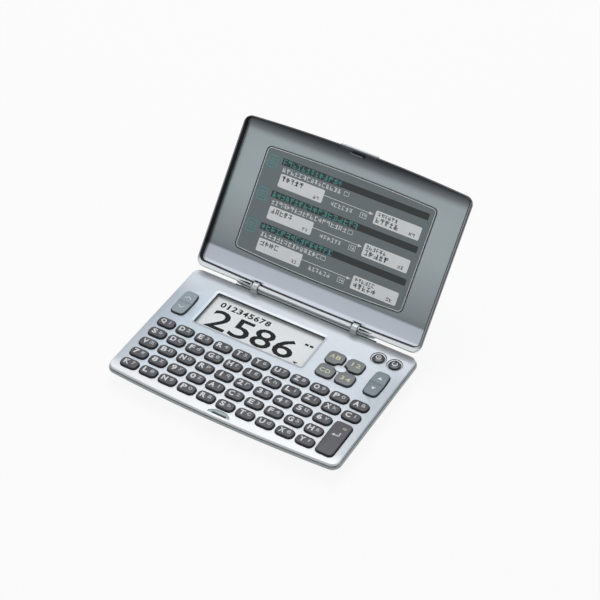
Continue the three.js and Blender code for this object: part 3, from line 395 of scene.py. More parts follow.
def rounded_rect(width, depth, radius, x=0.0, y=0.0, steps=6):
    def outline(grow=0.0):
        r = max(radius + grow, LEAST_RADIUS)
        hx, hy = width / 2 + grow - r, depth / 2 + grow - r
        corners = [(hx, hy), (-hx, hy), (-hx, -hy), (hx, -hy)]
        return [p for q, (cx, cy) in enumerate(corners) for p in arc(x + cx, y + cy, r, q, steps)]
    return outline


def ellipse(rx, ry, x=0.0, y=0.0, steps=40):
    def outline(grow=0.0):
        return [(x + (rx + grow) * math.cos(2 * math.pi * k / steps),
                 y + (ry + grow) * math.sin(2 * math.pi * k / steps)) for k in range(steps)]
    return outline


print("points round a rounded rectangle:", len(rounded_rect(8.8, 5.3, 2.2)()))

# %% [markdown]
# The base and the lid share one more outline. Its sides are straight, its corners are round, and
# its front and back edges bow out a little. Its sides can be cut into steps, for a skin that
# needs points along them.

# %% The bowed outline of the base and the lid
LEAST_CORNER_SHARE, BOW_STEPS, CORNER_STEPS = 0.15, 28, 8


def bowed(half_width, front, back, front_bow, back_bow, corner, side_steps=1):
    """Front and back are the furthest points of the bows, and a bow says how far it stands out."""
    def outline(grow=0.0):
        half, radius = half_width + grow, max(corner + grow, LEAST_CORNER_SHARE * corner)
        low, high, reach = front - grow, back + grow, half_width + grow - radius
        shares = [-1 + 2 * k / BOW_STEPS for k in range(1, BOW_STEPS)]
        low_corner, high_corner = low + front_bow + radius, high - back_bow - radius
        climb = [low_corner + (high_corner - low_corner) * k / side_steps
                 for k in range(1, side_steps)]
        return ([(s * reach, low + front_bow * s * s) for s in shares]
                + arc(reach, low_corner, radius, 3, CORNER_STEPS)
                + [(half, s) for s in climb]
                + arc(reach, high_corner, radius, 0, CORNER_STEPS)
                + [(-s * reach, high - back_bow * s * s) for s in shares]
                + arc(-reach, high_corner, radius, 1, CORNER_STEPS)
                + [(-half, s) for s in reversed(climb)]
                + arc(-reach, low_corner, radius, 2, CORNER_STEPS))
    return outline


print("points round a bowed outline:", len(bowed(60, -39, 39, 1.9, 0.1, 4.6)()))

# %% [markdown]
# ## Skins
# A skin collects points and faces while it is drawn: rings at different heights are bridged with
# quads, and a flat face with holes is cut into triangles. Each face keeps the number of its
# finish in tint, so one skin can have several.


# %% The skin that every piece is drawn with
class Skin:
    def __init__(self):
        self.points, self.faces, self.tints = [], [], []
        self.tint = 0

    def ring(self, outline, z):
        """z is a height, or a function of x and y."""
        start = len(self.points)
        self.points += [(x, y, z(x, y) if callable(z) else z) for x, y in outline]
        return list(range(start, len(self.points)))

    def add(self, face):
        self.faces.append(tuple(face))
        self.tints.append(self.tint)

    def bridge(self, a, b):
        for k in range(len(a)):
            n = (k + 1) % len(a)
            self.add((a[k], a[n], b[n], b[k]))

    def chain(self, rings):
        for a, b in zip(rings, rings[1:]):
            self.bridge(a, b)
        return rings

    def flat(self, outer, holes=()):
        """A flat face inside the outer ring, with the hole rings left open."""
        loops = [outer, *holes]
        order = [i for loop in loops for i in loop]
        drawn = [[Vector((*self.points[i][:2], 0)) for i in loop] for loop in loops]
        for triangle in tessellate_polygon(drawn):
            self.add(order[i] for i in triangle)

    def shrink(self, ring, centre, counts, height):
        """Closes a ring with smaller and smaller copies of itself; height(x, y, share)."""
        rings = [ring]
        start = [self.points[i][:2] for i in ring]
        for step in range(1, counts):
            share = 1 - step / counts
            points = [(centre[0] + (x - centre[0]) * share, centre[1] + (y - centre[1]) * share)
                      for x, y in start]
            rings.append(self.ring(points, 0))
            for i in rings[-1]:
                x, y, _ = self.points[i]
                self.points[i] = (x, y, height(x, y, share))
        self.chain(rings)
        middle = len(self.points)
        self.points.append((*centre, height(*centre, 0.0)))
        last = rings[-1]
        for k in range(len(last)):
            self.add((last[k], last[(k + 1) % len(last)], middle))


print("a skin can", ", ".join(step for step in vars(Skin) if not step.startswith("_")))

# %% [markdown]
# A finished skin becomes a mesh object in metres. Points that meet are joined, every face is
# turned outwards, and edges are smooth where they turn gently and sharp where they don't. Then
# the piece is hung on the CAD body that carries it, and the CAD parts it replaces are hidden.

# %% From a skin to a piece that is carried
SMOOTH_LIMIT, WELD = math.radians(38), 0.0005
made = []


def shade_evenly(piece):
    """Large faces stay flat, and only the round edges shade."""
    even = piece.modifiers.new("even_shading", "WEIGHTED_NORMAL")
    even.keep_sharp = True


def shape(name, skin, *materials, matrix=None, smooth=True):
    """The finished mesh object, in metres, with outward faces."""
    mesh = bpy.data.meshes.new(name)
    mesh.from_pydata([[v * MM for v in p] for p in skin.points], [], skin.faces)
    for material in materials:
        mesh.materials.append(material)
    mesh.polygons.foreach_set("material_index", skin.tints)
    work = bmesh.new()
    work.from_mesh(mesh)
    bmesh.ops.remove_doubles(work, verts=work.verts, dist=WELD * MM)
    bmesh.ops.recalc_face_normals(work, faces=work.faces)
    if matrix:
        work.transform(matrix)
    work.to_mesh(mesh)
    work.free()
    piece = bpy.data.objects.new(name, mesh)
    bpy.context.scene.collection.objects.link(piece)
    if smooth:
        mesh.shade_smooth()
        mesh.set_sharp_from_angle(angle=SMOOTH_LIMIT)
        shade_evenly(piece)
    made.append(piece)
    return piece


def hang(piece, body, slot, *nodes):
    """Carried by a CAD body, in place of some CAD nodes; slot is not used."""
    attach(piece, body)
    if nodes:
        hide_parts(*nodes)
    return piece


print("edges are sharp where they turn by more than", round(math.degrees(SMOOTH_LIMIT)), "degrees")

# %% [markdown]
# A round edge is a quarter circle in section. These few lines give it as steps of how far in and
# how far down it goes, and a cap is a column of rings that ends in such an edge and a crowned
# top.

# %% Round edges and caps
EDGE_STEPS = 5


def edge(radius, steps=EDGE_STEPS, drop=None):
    """(inset, drop) from the side of a piece up to its flat top; drop lets it be oval."""
    drop = radius if drop is None else drop
    return [(radius * (1 - math.cos(turn)), drop * (1 - math.sin(turn)))
            for turn in [QUARTER * k / steps for k in range(steps + 1)]]


def cap(skin, outline, centre, bottom, top, radius, crown=0.0, rings=5, dish=None, side=0):
    """The straight side has finish number side, painted shade on keys; dish(x, y) is taken off the
    top.
    """
    dip = dish or (lambda x, y: 0.0)
    column = [skin.ring(outline(0), bottom)]
    for inset, down in edge(radius):
        column.append(skin.ring(outline(-inset), lambda x, y, d=down: top - d - dip(x, y)))
    skin.tint = side
    skin.chain(column[:-2])
    skin.flat(column[0])
    skin.tint = 0
    skin.chain(column[-3:])
    skin.shrink(column[-1], centre, rings,
                lambda x, y, share: top + crown * (1 - share * share) - dip(x, y))


def rounded_block(skin, outline, bottom, top, radius):
    """A closed plate with a flat top and underside and all its edges rounded."""
    low = [skin.ring(outline(-inset), bottom + down) for inset, down in reversed(edge(radius, 3))]
    high = [skin.ring(outline(-inset), top - down) for inset, down in edge(radius, 3)]
    skin.chain(low + high)
    skin.flat(low[0])
    skin.flat(high[-1])


print("a round edge of 1 mm goes in by", [round(inset, 2) for inset, _ in edge(1.0)])

# %% [markdown]
# ## The lower case
# A shallow tub whose lower edge slopes under in a slightly bulging bevel, so the object looks
# thin on a table. Its outline is a little over half a millimetre larger than the CAD solid's,
# because the picture shows it so. The sloping side is needed twice, outside and inside, so it is
# a helper, and so is the tube that makes a screw post.

# %% Measures of the base, its sloping side and its screw posts
HALF_WIDTH, FRONT, CASE_BACK, FASCIA_TOP = 60.6, -39.0, 39.8, 9.0
FRONT_BOW, BACK_BOW, CASE_CORNER = 1.9, 0.1, 4.6
BEVEL_WIDTH, BULGE, BEVEL_TOP, PARTING, WALL, FLOOR_PLATE = 6.4, 0.5, 6.2, 7.3, 1.5, 1.2
case_outline = bowed(HALF_WIDTH, FRONT, CASE_BACK, FRONT_BOW, BACK_BOW, CASE_CORNER)
DISPLAY_X, DISPLAY_Y = -12.6, 18.65
SCREWS = [(-47.0, 4.7), (21.6, 4.7), (-51.0, 30.0), (35.0, 30.0)]
FEET = [(x, y) for y in (-26.5, 23.0) for x in (-48.5, 48.5)]


def under_bevel(skin, inset, lift, steps=14):
    rings = []
    for k in range(steps + 1):
        t = k / steps
        rings.append(skin.ring(
            case_outline(-inset - BEVEL_WIDTH * (1 - t) + 4 * BULGE * t * (1 - t)),
            lift + (BEVEL_TOP - lift) * t))
    return rings


def tube(skin, x, y, outer, inner, low, high, sides=24):
    walls = [(outer, low), (outer, high), (inner, high), (inner, low)]
    rings = [skin.ring(ellipse(r, r, x, y, sides)(), z) for r, z in walls]
    skin.chain(rings + rings[:1])


print("base:", 2 * HALF_WIDTH, "mm wide,", CASE_BACK - FRONT, "mm deep,", FASCIA_TOP, "mm high")

# %% [markdown]
# The tub is one closed skin: up the outside, over the lip, down the inside, and round the battery
# bay. The underside keeps its pockets for the cover, the screws and the feet, which are rings in
# its flat face, and the screw posts stand on the floor.

# %% The tub, its battery bay, pockets and posts
BAY_X, COVER_X, BAY_TOP, BAY_FLOOR, BAY_EDGE, COVER_EDGE = -9.6, -6.4, 3.3, 1.1, 0.15, 0.12
SCREW_POCKET, FOOT_POCKET = (1.85, 1.0), (3.1, 0.7)
POST_RADIUS, POST_BORE, POST_TOP = 2.1, 1.0, 5.3

tub = Skin()
outside = under_bevel(tub, 0, 0)
lip = [tub.ring(case_outline(-inset), PARTING - down) for inset, down in edge(0.35)]
inner_lip = [tub.ring(case_outline(-WALL + inset), PARTING - down)
             for inset, down in edge(0.15)][::-1]
inside = under_bevel(tub, WALL, FLOOR_PLATE)[::-1]
tub.chain(outside + lip + inner_lip + inside)
bay_inner = rounded_rect(44.6, 21.6, 1.0, BAY_X, DISPLAY_Y)
bay_outer = rounded_rect(57.5, 24.6, 2.0, -5.65, 18.2)
cover_pocket = rounded_rect(54.6, 25.2, 1.8, COVER_X, DISPLAY_Y)
bay_shoulder = BAY_TOP - BAY_EDGE
bay = tub.chain([tub.ring(outline(grow), z) for outline, grow, z in [
    (bay_outer, 0, FLOOR_PLATE), (bay_outer, 0, bay_shoulder), (bay_outer, -BAY_EDGE, BAY_TOP),
    (bay_inner, BAY_EDGE, BAY_TOP), (bay_inner, 0, bay_shoulder), (bay_inner, 0, BAY_FLOOR),
    (cover_pocket, 0, BAY_FLOOR), (cover_pocket, 0, COVER_EDGE), (cover_pocket, COVER_EDGE, 0)]])
tub.flat(inside[-1], [bay[0]])
pockets = [bay[-1]]
for x, y, radius, depth in ([(*place, *SCREW_POCKET) for place in SCREWS]
                            + [(*place, *FOOT_POCKET) for place in FEET]):
    round_pocket = ellipse(radius, radius, x, y, 36)
    walls = tub.chain([tub.ring(round_pocket(), 0), tub.ring(round_pocket(), depth)])
    tub.flat(walls[1])
    pockets.append(walls[0])
tub.flat(outside[0], pockets)
for x, y in SCREWS:
    tube(tub, x, y, POST_RADIUS, POST_BORE, FLOOR_PLATE - 0.1, POST_TOP)
lower_case = hang(shape("lower_case_shell", tub, case_silver),
                  "base", "case_plastic", "lower_case")
print("lower case:", len(lower_case.data.polygons), "faces")

# %% [markdown]
# ## Keys in plan
# The keys stand in a regular lattice of eleven columns and five rows, and the last column's lower
# three rows are one tall key. These measures serve both the holes in the plate and the keys.

# %% Key places, and the outlines of the letter keys and the tall key
COLUMN_PITCH, ROW_PITCH, KEY_WIDTH, KEY_DEPTH, KEY_CORNER = 10.26, 7.53, 8.8, 5.3, 2.2
KEY_TOP, WEB_TOP, WEB_BOTTOM = 10.2, 7.6, 7.0
ROW_Y = [-0.35 - ROW_PITCH * row for row in range(5)]
ROW_KEYS = [11, 11, 10, 10, 10]
MIDDLE_COLUMN, LAST_COLUMN, TALL_DEPTH = 5, 10, 20.36


def column_x(column):
    return (column - MIDDLE_COLUMN) * COLUMN_PITCH


def key_outline(x, y):
    return rounded_rect(KEY_WIDTH, KEY_DEPTH, KEY_CORNER, x, y)


tall_centre = (column_x(LAST_COLUMN), ROW_Y[3])
tall_outline = rounded_rect(KEY_WIDTH, TALL_DEPTH, KEY_CORNER, *tall_centre)
print("letter keys:", sum(ROW_KEYS), "with a pitch of", COLUMN_PITCH, "by", ROW_PITCH, "mm")

# %% [markdown]
# Other keys have freer outlines. Such an outline is first drawn as a path of points. Three
# helpers make it usable: one walks it in equal steps, one rounds its corners, and one grows it.


# %% Helpers for free outlines
def even_points(path, count):
    """The same closed path, walked in equal steps."""
    closed = path + path[:1]
    lengths = [math.dist(a, b) for a, b in zip(closed, closed[1:])]
    step, out, travelled, leg = sum(lengths) / count, [], 0.0, 0
    for k in range(count):
        while travelled + lengths[leg] < k * step and leg < len(lengths) - 1:
            travelled += lengths[leg]
            leg += 1
        share = (k * step - travelled) / lengths[leg] if lengths[leg] else 0
        (ax, ay), (bx, by) = closed[leg], closed[leg + 1]
        out.append((ax + (bx - ax) * share, ay + (by - ay) * share))
    return out


def softened(path, rounds):
    """Rounds the sharp corners of a path by averaging neighbours."""
    for _ in range(rounds):
        before, after = path[-1:] + path[:-1], path[1:] + path[:1]
        path = [((ax + 2 * bx + cx) / 4, (ay + 2 * by + cy) / 4)
                for (ax, ay), (bx, by), (cx, cy) in zip(before, path, after)]
    return path


def grown(path, amount):
    """Every point of an anticlockwise path moved outwards, square to the path."""
    out = []
    for (ax, ay), (x, y), (cx, cy) in zip(path[-1:] + path[:-1], path, path[1:] + path[:1]):
        dx, dy = cx - ax, cy - ay
        size = math.hypot(dx, dy) or 1.0
        out.append((x + dy / size * amount, y - dx / size * amount))
    return out


print("points on the tall key's outline, walked evenly:", len(even_points(tall_outline(), 60)))

# %% [markdown]
# Four mode keys surround a raised oval pad: each is a rounded rectangle with the corner next to
# the pad cut away by a larger oval. One is drawn, and the others are its mirror images.

# %% Outlines of the mode keys
MODE_X, CLUSTER_Y = 32.57, 15.145
MODE_PLACES = [(-1, 1), (1, 1), (-1, -1), (1, -1)]
PAD_X, PAD_Y, PAD_GAP = 3.0, 2.05, 0.5
MODE_BOX, MODE_CORNER, MODE_POINTS, MODE_SOFTENING = (0.65, 9.45, 0.5, 8.4), 2.4, 96, 6
OVAL_STEPS = 12


def mode_path(side_x, side_y):
    """Drawn for the key at the right and back of the pad, then mirrored to its own side."""
    left, right, low, high = MODE_BOX
    rx, ry = PAD_X + PAD_GAP, PAD_Y + PAD_GAP
    start, end = math.asin(low / ry), math.acos(left / rx)
    turns = [start + (end - start) * k / OVAL_STEPS for k in range(OVAL_STEPS + 1)]
    path = (arc(right - MODE_CORNER, low + MODE_CORNER, MODE_CORNER, 3, 8)
            + arc(right - MODE_CORNER, high - MODE_CORNER, MODE_CORNER, 0, 8)
            + arc(left + MODE_CORNER, high - MODE_CORNER, MODE_CORNER, 1, 8)
            + [(rx * math.cos(turn), ry * math.sin(turn)) for turn in reversed(turns)])
    path = softened(even_points(path, MODE_POINTS), MODE_SOFTENING)
    path = [(MODE_X + side_x * x, CLUSTER_Y + side_y * y) for x, y in path]
    return path if side_x * side_y > 0 else path[::-1]


mode_paths = [mode_path(*place) for place in MODE_PLACES]
print("mode keys:", len(mode_paths), "round a pad", 2 * PAD_X, "mm wide")

# %% [markdown]
# The rockers at both sides are long keys whose ends are a little narrower than their middle.

# %% Outline of the rockers
ROCKER_X, ROCKER_POINTS = 51.3, 220
ROCKER_WIDE, ROCKER_LONG, ROCKER_CORNER, ROCKER_NARROW_SHARE = 7.6, 15.4, 2.0, 0.13


def rocker_outline(x, grow=0.0):
    half = ROCKER_LONG / 2
    plain = rounded_rect(ROCKER_WIDE, ROCKER_LONG, ROCKER_CORNER, x, CLUSTER_Y, 10)
    path = [(x + (px - x) * (1 - ROCKER_NARROW_SHARE * ((py - CLUSTER_Y) / half) ** 2), py)
            for px, py in even_points(plain(), ROCKER_POINTS)]
    return grown(path, grow)


print("rockers:", ROCKER_LONG, "mm long,", ROCKER_WIDE, "mm wide")

# %% [markdown]
# ## The keyboard plate
# The real plate is one silver moulding with a hole for every key. Cutting some sixty holes with
# booleans would leave ragged edges, so the plate is one skin. It starts with a rounded rim and a
# skirt that sits on the case. Every hole and every raised part adds a ring to its flat top, and
# the top is cut into triangles between them at the end.

# %% The plate's rim and skirt
PLATE_UNDER, PLATE_INSET, SKIRT, SKIRT_BOTTOM = 7.9, 0.65, 0.9, 7.6

plate = Skin()
roll = [plate.ring(case_outline(-PLATE_INSET - inset), FASCIA_TOP - down)
        for inset, down in edge(0.5, 7)][::-1]
skirt = [plate.ring(case_outline(-PLATE_INSET - inset), z) for inset, z in [
    (0, SKIRT_BOTTOM + 0.12), (0.12, SKIRT_BOTTOM), (SKIRT - 0.1, SKIRT_BOTTOM),
    (SKIRT, SKIRT_BOTTOM + 0.1), (SKIRT, PLATE_UNDER)]]
plate.chain(roll + skirt)
top_holes, under_holes = [], []
print("plate:", round(FASCIA_TOP - PLATE_UNDER, 2), "mm thick")

# %% [markdown]
# Each key's hole is a short chain of rings with a small round edge, a fifth of a millimetre
# larger than the key all round.

# %% A hole for every key
HOLE_EDGE, PLAY = 0.24, 0.2


def keep_open(rings):
    """The first ring stays open in the plate's top, and the last one in its underside."""
    top_holes.append(rings[0])
    under_holes.append(rings[-1])


def pierce(outline):
    rings = [plate.ring(outline(PLAY + grow), FASCIA_TOP - down)
             for grow, down in reversed(edge(HOLE_EDGE, 4))]
    rings.append(plate.ring(outline(PLAY), PLATE_UNDER))
    plate.chain(rings)
    keep_open(rings)


for row, y in enumerate(ROW_Y):
    for column in range(ROW_KEYS[row]):
        pierce(key_outline(column_x(column), y))
pierce(tall_outline)
for path in mode_paths:
    pierce(lambda grow, path=path: grown(path, grow))
for x in (-ROCKER_X, ROCKER_X):
    pierce(lambda grow, x=x: rocker_outline(x, grow))
print("holes for keys:", len(top_holes))

# %% [markdown]
# The two round buttons stand in wells with two steps. The walls of the steps lie in deep shade,
# so they have the dark finish.

# %% Wells of the round buttons
ROUND_XS, ROUND_Y = [44.0, 52.4], 30.19
WELL = [(3.95, FASCIA_TOP), (3.85, 8.97), (3.65, 8.65), (3.58, 8.6), (3.05, 8.6), (2.97, 8.55),
        (2.95, 8.4), (2.95, PLATE_UNDER)]
for x in ROUND_XS:
    rings = [plate.ring(ellipse(radius, radius, x, ROUND_Y, 48)(), z) for radius, z in WELL]
    for tint, run in [(0, rings[:2]), (1, rings[1:4]), (0, rings[3:6]), (1, rings[5:])]:
        plate.tint = tint
        plate.chain(run)
    plate.tint = 0
    keep_open(rings)
print("wells:", len(ROUND_XS), "each", 2 * WELL[0][0], "mm across")

# %% [markdown]
# The display's opening has a wide shallow slope, and its walls are painted dark as shade.

# %% The display's opening
window_hole = rounded_rect(58.0, 21.7, 0.5, DISPLAY_X, DISPLAY_Y)
window_rings = [plate.ring(window_hole(grow), z) for grow, z in [
    (1.5, FASCIA_TOP), (1.3, 8.985), (0.35, 8.80), (0.15, 8.74), (0.03, 8.62), (0.0, 8.5),
    (0.0, PLATE_UNDER)]]
plate.chain(window_rings[:4])
# painted shade on the walls of the opening
plate.tint = 1
plate.chain(window_rings[3:])
plate.tint = 0
keep_open(window_rings)
print("opening's slope:", window_hole(1.5)[0][0] - window_hole()[0][0], "mm wide")

# %% [markdown]
# At the front edge a finger scoop, round like a crescent, lets a nail in under the lid. The slot
# in its floor takes the lid's hook.

# %% The finger scoop and the slot for the hook
CATCH_EDGE_Y, CATCH_WIDTH, CATCH_DEPTH, CATCH_STRAIGHT = -36.75, 5.7, 2.9, 0.94
CATCH_FLOOR = FASCIA_TOP - 0.5


def crescent(grow=0.0, steps=28):
    turns = [math.pi * k / steps for k in range(steps + 1)]
    half = CATCH_WIDTH * CATCH_STRAIGHT
    return ([((CATCH_WIDTH + grow) * math.cos(turn),
              CATCH_EDGE_Y + (CATCH_DEPTH + grow) * math.sin(turn)) for turn in turns]
            + [(-half, CATCH_EDGE_Y - grow), (half, CATCH_EDGE_Y - grow)])


dent = plate.chain([plate.ring(crescent(grow), z) for grow, z in [
    (0.15, FASCIA_TOP), (0.05, 8.96), (0.0, 8.85), (0.0, CATCH_FLOOR)]])
slot_outline = rounded_rect(7.6, 1.2, 0.2, 0, -36.0)
slot = plate.chain([plate.ring(slot_outline(), z) for z in (CATCH_FLOOR, PLATE_UNDER)])
plate.flat(dent[-1], [slot[0]])
keep_open([dent[0], slot[-1]])
print("scoop:", 2 * CATCH_WIDTH, "mm wide,", FASCIA_TOP - CATCH_FLOOR, "mm deep")

# %% [markdown]
# The raised pad between the mode keys grows out of the same skin. With it the list of rings is
# complete, and the flat top and underside are closed between them.

# %% The raised pad, and closing the plate
PAD_HIGH, PAD_CROWN = 0.55, 0.05
pad = ellipse(PAD_X, PAD_Y, MODE_X, CLUSTER_Y, 64)
pad_rings = [plate.ring(pad(0.12), FASCIA_TOP), plate.ring(pad(0.02), FASCIA_TOP + 0.06)]
pad_rings += [plate.ring(pad(-inset), FASCIA_TOP + PAD_HIGH - down) for inset, down in edge(0.4)]
plate.chain(pad_rings)
plate.shrink(pad_rings[-1], (MODE_X, CLUSTER_Y), 6,
             lambda x, y, share: FASCIA_TOP + PAD_HIGH + PAD_CROWN * (1 - share * share))
top_holes.append(pad_rings[0])
plate.flat(roll[0], top_holes)
plate.flat(skirt[-1], under_holes)
print("rings in the plate's top:", len(top_holes))

# %% [markdown]
# Screw bosses and the two tabs behind the front wall belong to the same moulding. They reach a
# little into the plate, so that no gap shows between them and it.

# %% Bosses and tabs
BOSS_RADIUS, BOSS_LOW, TAB_X, TAB_LOW, OVERLAP = 1.7, 5.6, 22.0, 6.1, 0.3
for x, y in SCREWS:
    tube(plate, x, y, BOSS_RADIUS, POST_BORE, BOSS_LOW, PLATE_UNDER + OVERLAP)
for x in (-TAB_X, TAB_X):
    tab = rounded_rect(8.0, 1.0, 0.2, x, -35.75)
    rounded_block(plate, tab, TAB_LOW, PLATE_UNDER + OVERLAP, 0.15)
print("bosses:", len(SCREWS), "reaching down to", BOSS_LOW, "mm")

# %% [markdown]
# The hinge knuckles grow out of the plate too. A knuckle is a ring on a short neck: its outline
# is drawn side-on and pushed along the hinge's axis, with a bore for the pin.

# %% Hinge knuckles, and the finished plate
LUG_X, LUG_WIDTH, LUG_RADIUS, PIN_BORE = 26.8, 3.2, 2.7, 0.8
NECK_FRONT, NECK_BACK, NECK_LOW = 37.3, 38.4, 8.0


def sideways(skin, outline, x0, x1, radius, bore=None):
    """A block drawn in Y and Z and pushed along X, with round edges and perhaps a bore."""
    start = len(skin.points)
    column = [(x0 + down, -inset) for inset, down in reversed(edge(radius, 4))]
    column += [(x1 - down, -inset) for inset, down in edge(radius, 4)]
    rings = skin.chain([skin.ring(outline(grow), x) for x, grow in column])
    ends = [[rings[0]], [rings[-1]]]
    if bore:
        hole = skin.chain([skin.ring(bore(), x0), skin.ring(bore(), x1)])
        ends = [[rings[0], hole[0]], [rings[-1], hole[1]]]
    for outer, *holes in ends:
        skin.flat(outer, holes)
    skin.points[start:] = [(z, x, y) for x, y, z in skin.points[start:]]


def lug_outline(grow=0.0, steps=36):
    r = LUG_RADIUS + grow
    front, back = NECK_FRONT - grow, NECK_BACK + grow
    first = -math.pi / 2 - math.asin((HINGE_Y - back) / r)
    last = math.pi + math.asin(math.sqrt(r * r - (HINGE_Y - front) ** 2) / r)
    turns = [first + (last - first) * k / steps for k in range(steps + 1)]
    ring = [(HINGE_Y + r * math.cos(turn), HINGE_Z + r * math.sin(turn)) for turn in turns]
    return ring + [(front, NECK_LOW), (back, NECK_LOW)]


plate.tint = 2
for x in (-LUG_X, LUG_X):
    sideways(plate, lug_outline, x - LUG_WIDTH / 2, x + LUG_WIDTH / 2, 0.35,
             ellipse(PIN_BORE, PIN_BORE, HINGE_Y, HINGE_Z, 24))
    rounded_block(plate, rounded_rect(LUG_WIDTH + 1.0, 1.2, 0.4, x, 37.5), FASCIA_TOP - 0.9,
                  FASCIA_TOP + 0.22, 0.15)
keyboard_plate = hang(shape("keyboard_plate", plate, fascia_silver, wall_shade, hinge_silver),
                      "base", "silver_plastic", "keyboard_fascia")
print("keyboard plate:", len(keyboard_plate.data.polygons), "faces")

# %% [markdown]
# A thin coloured sheet lies on the floor of the finger scoop. It has a hole where the slot is.

# %% The sheet in the scoop
inlay = Skin()
levels = []
for lift, inset, slot_play in ((0.01, 0.12, 0.05), (0.1, 0.2, 0.12)):
    levels.append([inlay.ring(crescent(-inset), CATCH_FLOOR + lift),
                   inlay.ring(slot_outline(slot_play), CATCH_FLOOR + lift)])
for low_ring, high_ring in zip(*levels):
    inlay.bridge(low_ring, high_ring)
for outer_ring, hole_ring in levels:
    inlay.flat(outer_ring, [hole_ring])
hang(shape("catch_inlay", inlay, catch_teal), "base", "silver_plastic")
print("sheet in the scoop:", len(inlay.faces), "faces")

# %% [markdown]
# ## The display
# A clear window lies in the plate's opening, and a liquid crystal panel a millimetre below it.
# The window is nearly invisible, so it is drawn with low alpha: light then reaches the panel as
# it does through real thin plastic, and no caustic noise appears. The panel is two glass plates,
# the upper one smaller.

# %% Window and panel
WINDOW_LOW, WINDOW_HIGH = 7.05, 7.8
LCD_LOW, LCD_STEP, LCD_TOP = 5.15, 5.9, 6.75
clear = moulded("clear_window", (240, 250, 252), 0.08, 0.0, 0.01, 20, 0.5, 0.0005, 0.02)
clear.node_tree.nodes["Principled BSDF"].inputs["Alpha"].default_value = 0.01
window = Skin()
rounded_block(window, rounded_rect(61.2, 24.9, 0.8, DISPLAY_X, DISPLAY_Y),
              WINDOW_LOW, WINDOW_HIGH, 0.12)
hang(shape("display_lens", window, clear), "base", "clear_window", "display_window")
panel = Skin()
rounded_block(panel, rounded_rect(61.6, 25.3, 0.4, DISPLAY_X, DISPLAY_Y), LCD_LOW, LCD_STEP, 0.1)
rounded_block(panel, rounded_rect(60.6, 24.1, 0.4, DISPLAY_X, DISPLAY_Y), LCD_STEP, LCD_TOP, 0.08)
hang(shape("display_panel", panel, lcd_face), "base", "lcd_glass", "lcd_glass")
print("window up to", WINDOW_HIGH, "mm, panel up to", LCD_TOP, "mm")

# %% [markdown]
# ## The keys
# Each row of letter keys is one rubber-backed strip: caps on a thin web that the plate holds
# down. A cap has a straight side, a round edge and a slightly crowned top, which is what catches
# the light. One object per strip keeps the caps together when the row is pressed.

# %% Letter keys and the tall key
CAP_EDGE, CROWN, WEB_DEPTH, CAP_START = 0.55, 0.16, 3.6, 0.3
for row, y in enumerate(ROW_Y):
    strip = Skin()
    last = column_x(ROW_KEYS[row] - 1)
    reach = last - column_x(0) + KEY_WIDTH - 2 * KEY_CORNER
    middle = (last + column_x(0)) / 2
    rounded_block(strip, rounded_rect(reach, WEB_DEPTH, 0.4, middle, y), WEB_BOTTOM, WEB_TOP, 0.12)
    for column in range(ROW_KEYS[row]):
        x = column_x(column)
        cap(strip, key_outline(x, y), (x, y), WEB_BOTTOM + CAP_START, KEY_TOP - CROWN, CAP_EDGE,
            CROWN, side=1)
    name = f"letter_keys_row_{row + 1}"
    hang(shape(f"key_strip_{row + 1}", strip, key_black, key_side_shade), name, "key_plastic", name)

tall = Skin()
cap(tall, tall_outline, tall_centre, WEB_BOTTOM, KEY_TOP - CROWN, CAP_EDGE, CROWN, 7, side=1)
rounded_block(tall, lambda g: tall_outline(g + 0.4), WEB_BOTTOM, WEB_TOP, 0.1)
hang(shape("tall_key", tall, enter_black, key_side_shade), "enter_key", "enter_plastic", "enter_key")
print("letter keys and tall key stand", round(KEY_TOP - FASCIA_TOP, 2), "mm above the plate")

# %% [markdown]
# The mode keys are flatter and paler. Their outline is not symmetrical, so the rings of their
# tops shrink towards the mean of its points.

# %% Mode keys
FLAT_CROWN, FLAT_EDGE = 0.12, 0.5
for index, path in enumerate(mode_paths):
    key = Skin()
    centre = (sum(x for x, _ in path) / len(path), sum(y for _, y in path) / len(path))
    cap(key, lambda g, path=path: grown(path, g), centre, WEB_BOTTOM, KEY_TOP - FLAT_CROWN,
        FLAT_EDGE, FLAT_CROWN, 8, side=1)
    rounded_block(key, lambda g, path=path: grown(path, g + 0.38), WEB_BOTTOM, WEB_TOP, 0.1)
    name = f"mode_key_{index + 1}"
    hang(shape(f"mode_cap_{index + 1}", key, mode_grey, mode_side_shade), name, "mode_key_plastic", name)
print("faces of the last mode key:", len(key.faces))

# %% [markdown]
# A rocker has a groove across its middle and a shallow valley round it, so a thumb finds each
# end. Both are taken off the crowned top by a formula, and more rings in the top let them show.

# %% Rockers
ROCKER_CROWN, GROOVE_DEPTH, GROOVE_HALF, VALLEY_DEPTH, VALLEY_HALF = 0.15, 0.3, 0.32, 0.22, 3.2


def rocker_dip(x, y):
    from_middle = abs(y - CLUSTER_Y)
    groove = GROOVE_DEPTH * math.exp(-(from_middle / GROOVE_HALF) ** 4)
    valley = VALLEY_DEPTH * math.exp(-(from_middle / VALLEY_HALF) ** 2)
    return groove + valley


for name, x in (("left_rocker", -ROCKER_X), ("right_rocker", ROCKER_X)):
    key = Skin()
    cap(key, lambda g, x=x: rocker_outline(x, g), (x, CLUSTER_Y), WEB_BOTTOM,
        KEY_TOP - ROCKER_CROWN, FLAT_EDGE, ROCKER_CROWN, 14, dish=rocker_dip, side=1)
    rounded_block(key, rounded_rect(8.6, 4.0, 0.3, x, CLUSTER_Y), WEB_BOTTOM, WEB_TOP, 0.1)
    hang(shape(name + "_cap", key, rocker_grey, mode_side_shade), name, "rocker_plastic", name)
print("a rocker's top dips by", round(rocker_dip(0, CLUSTER_Y), 2), "mm in the middle")

# %% [markdown]
# The round buttons are small domes. A flange below the plate keeps each in its well.

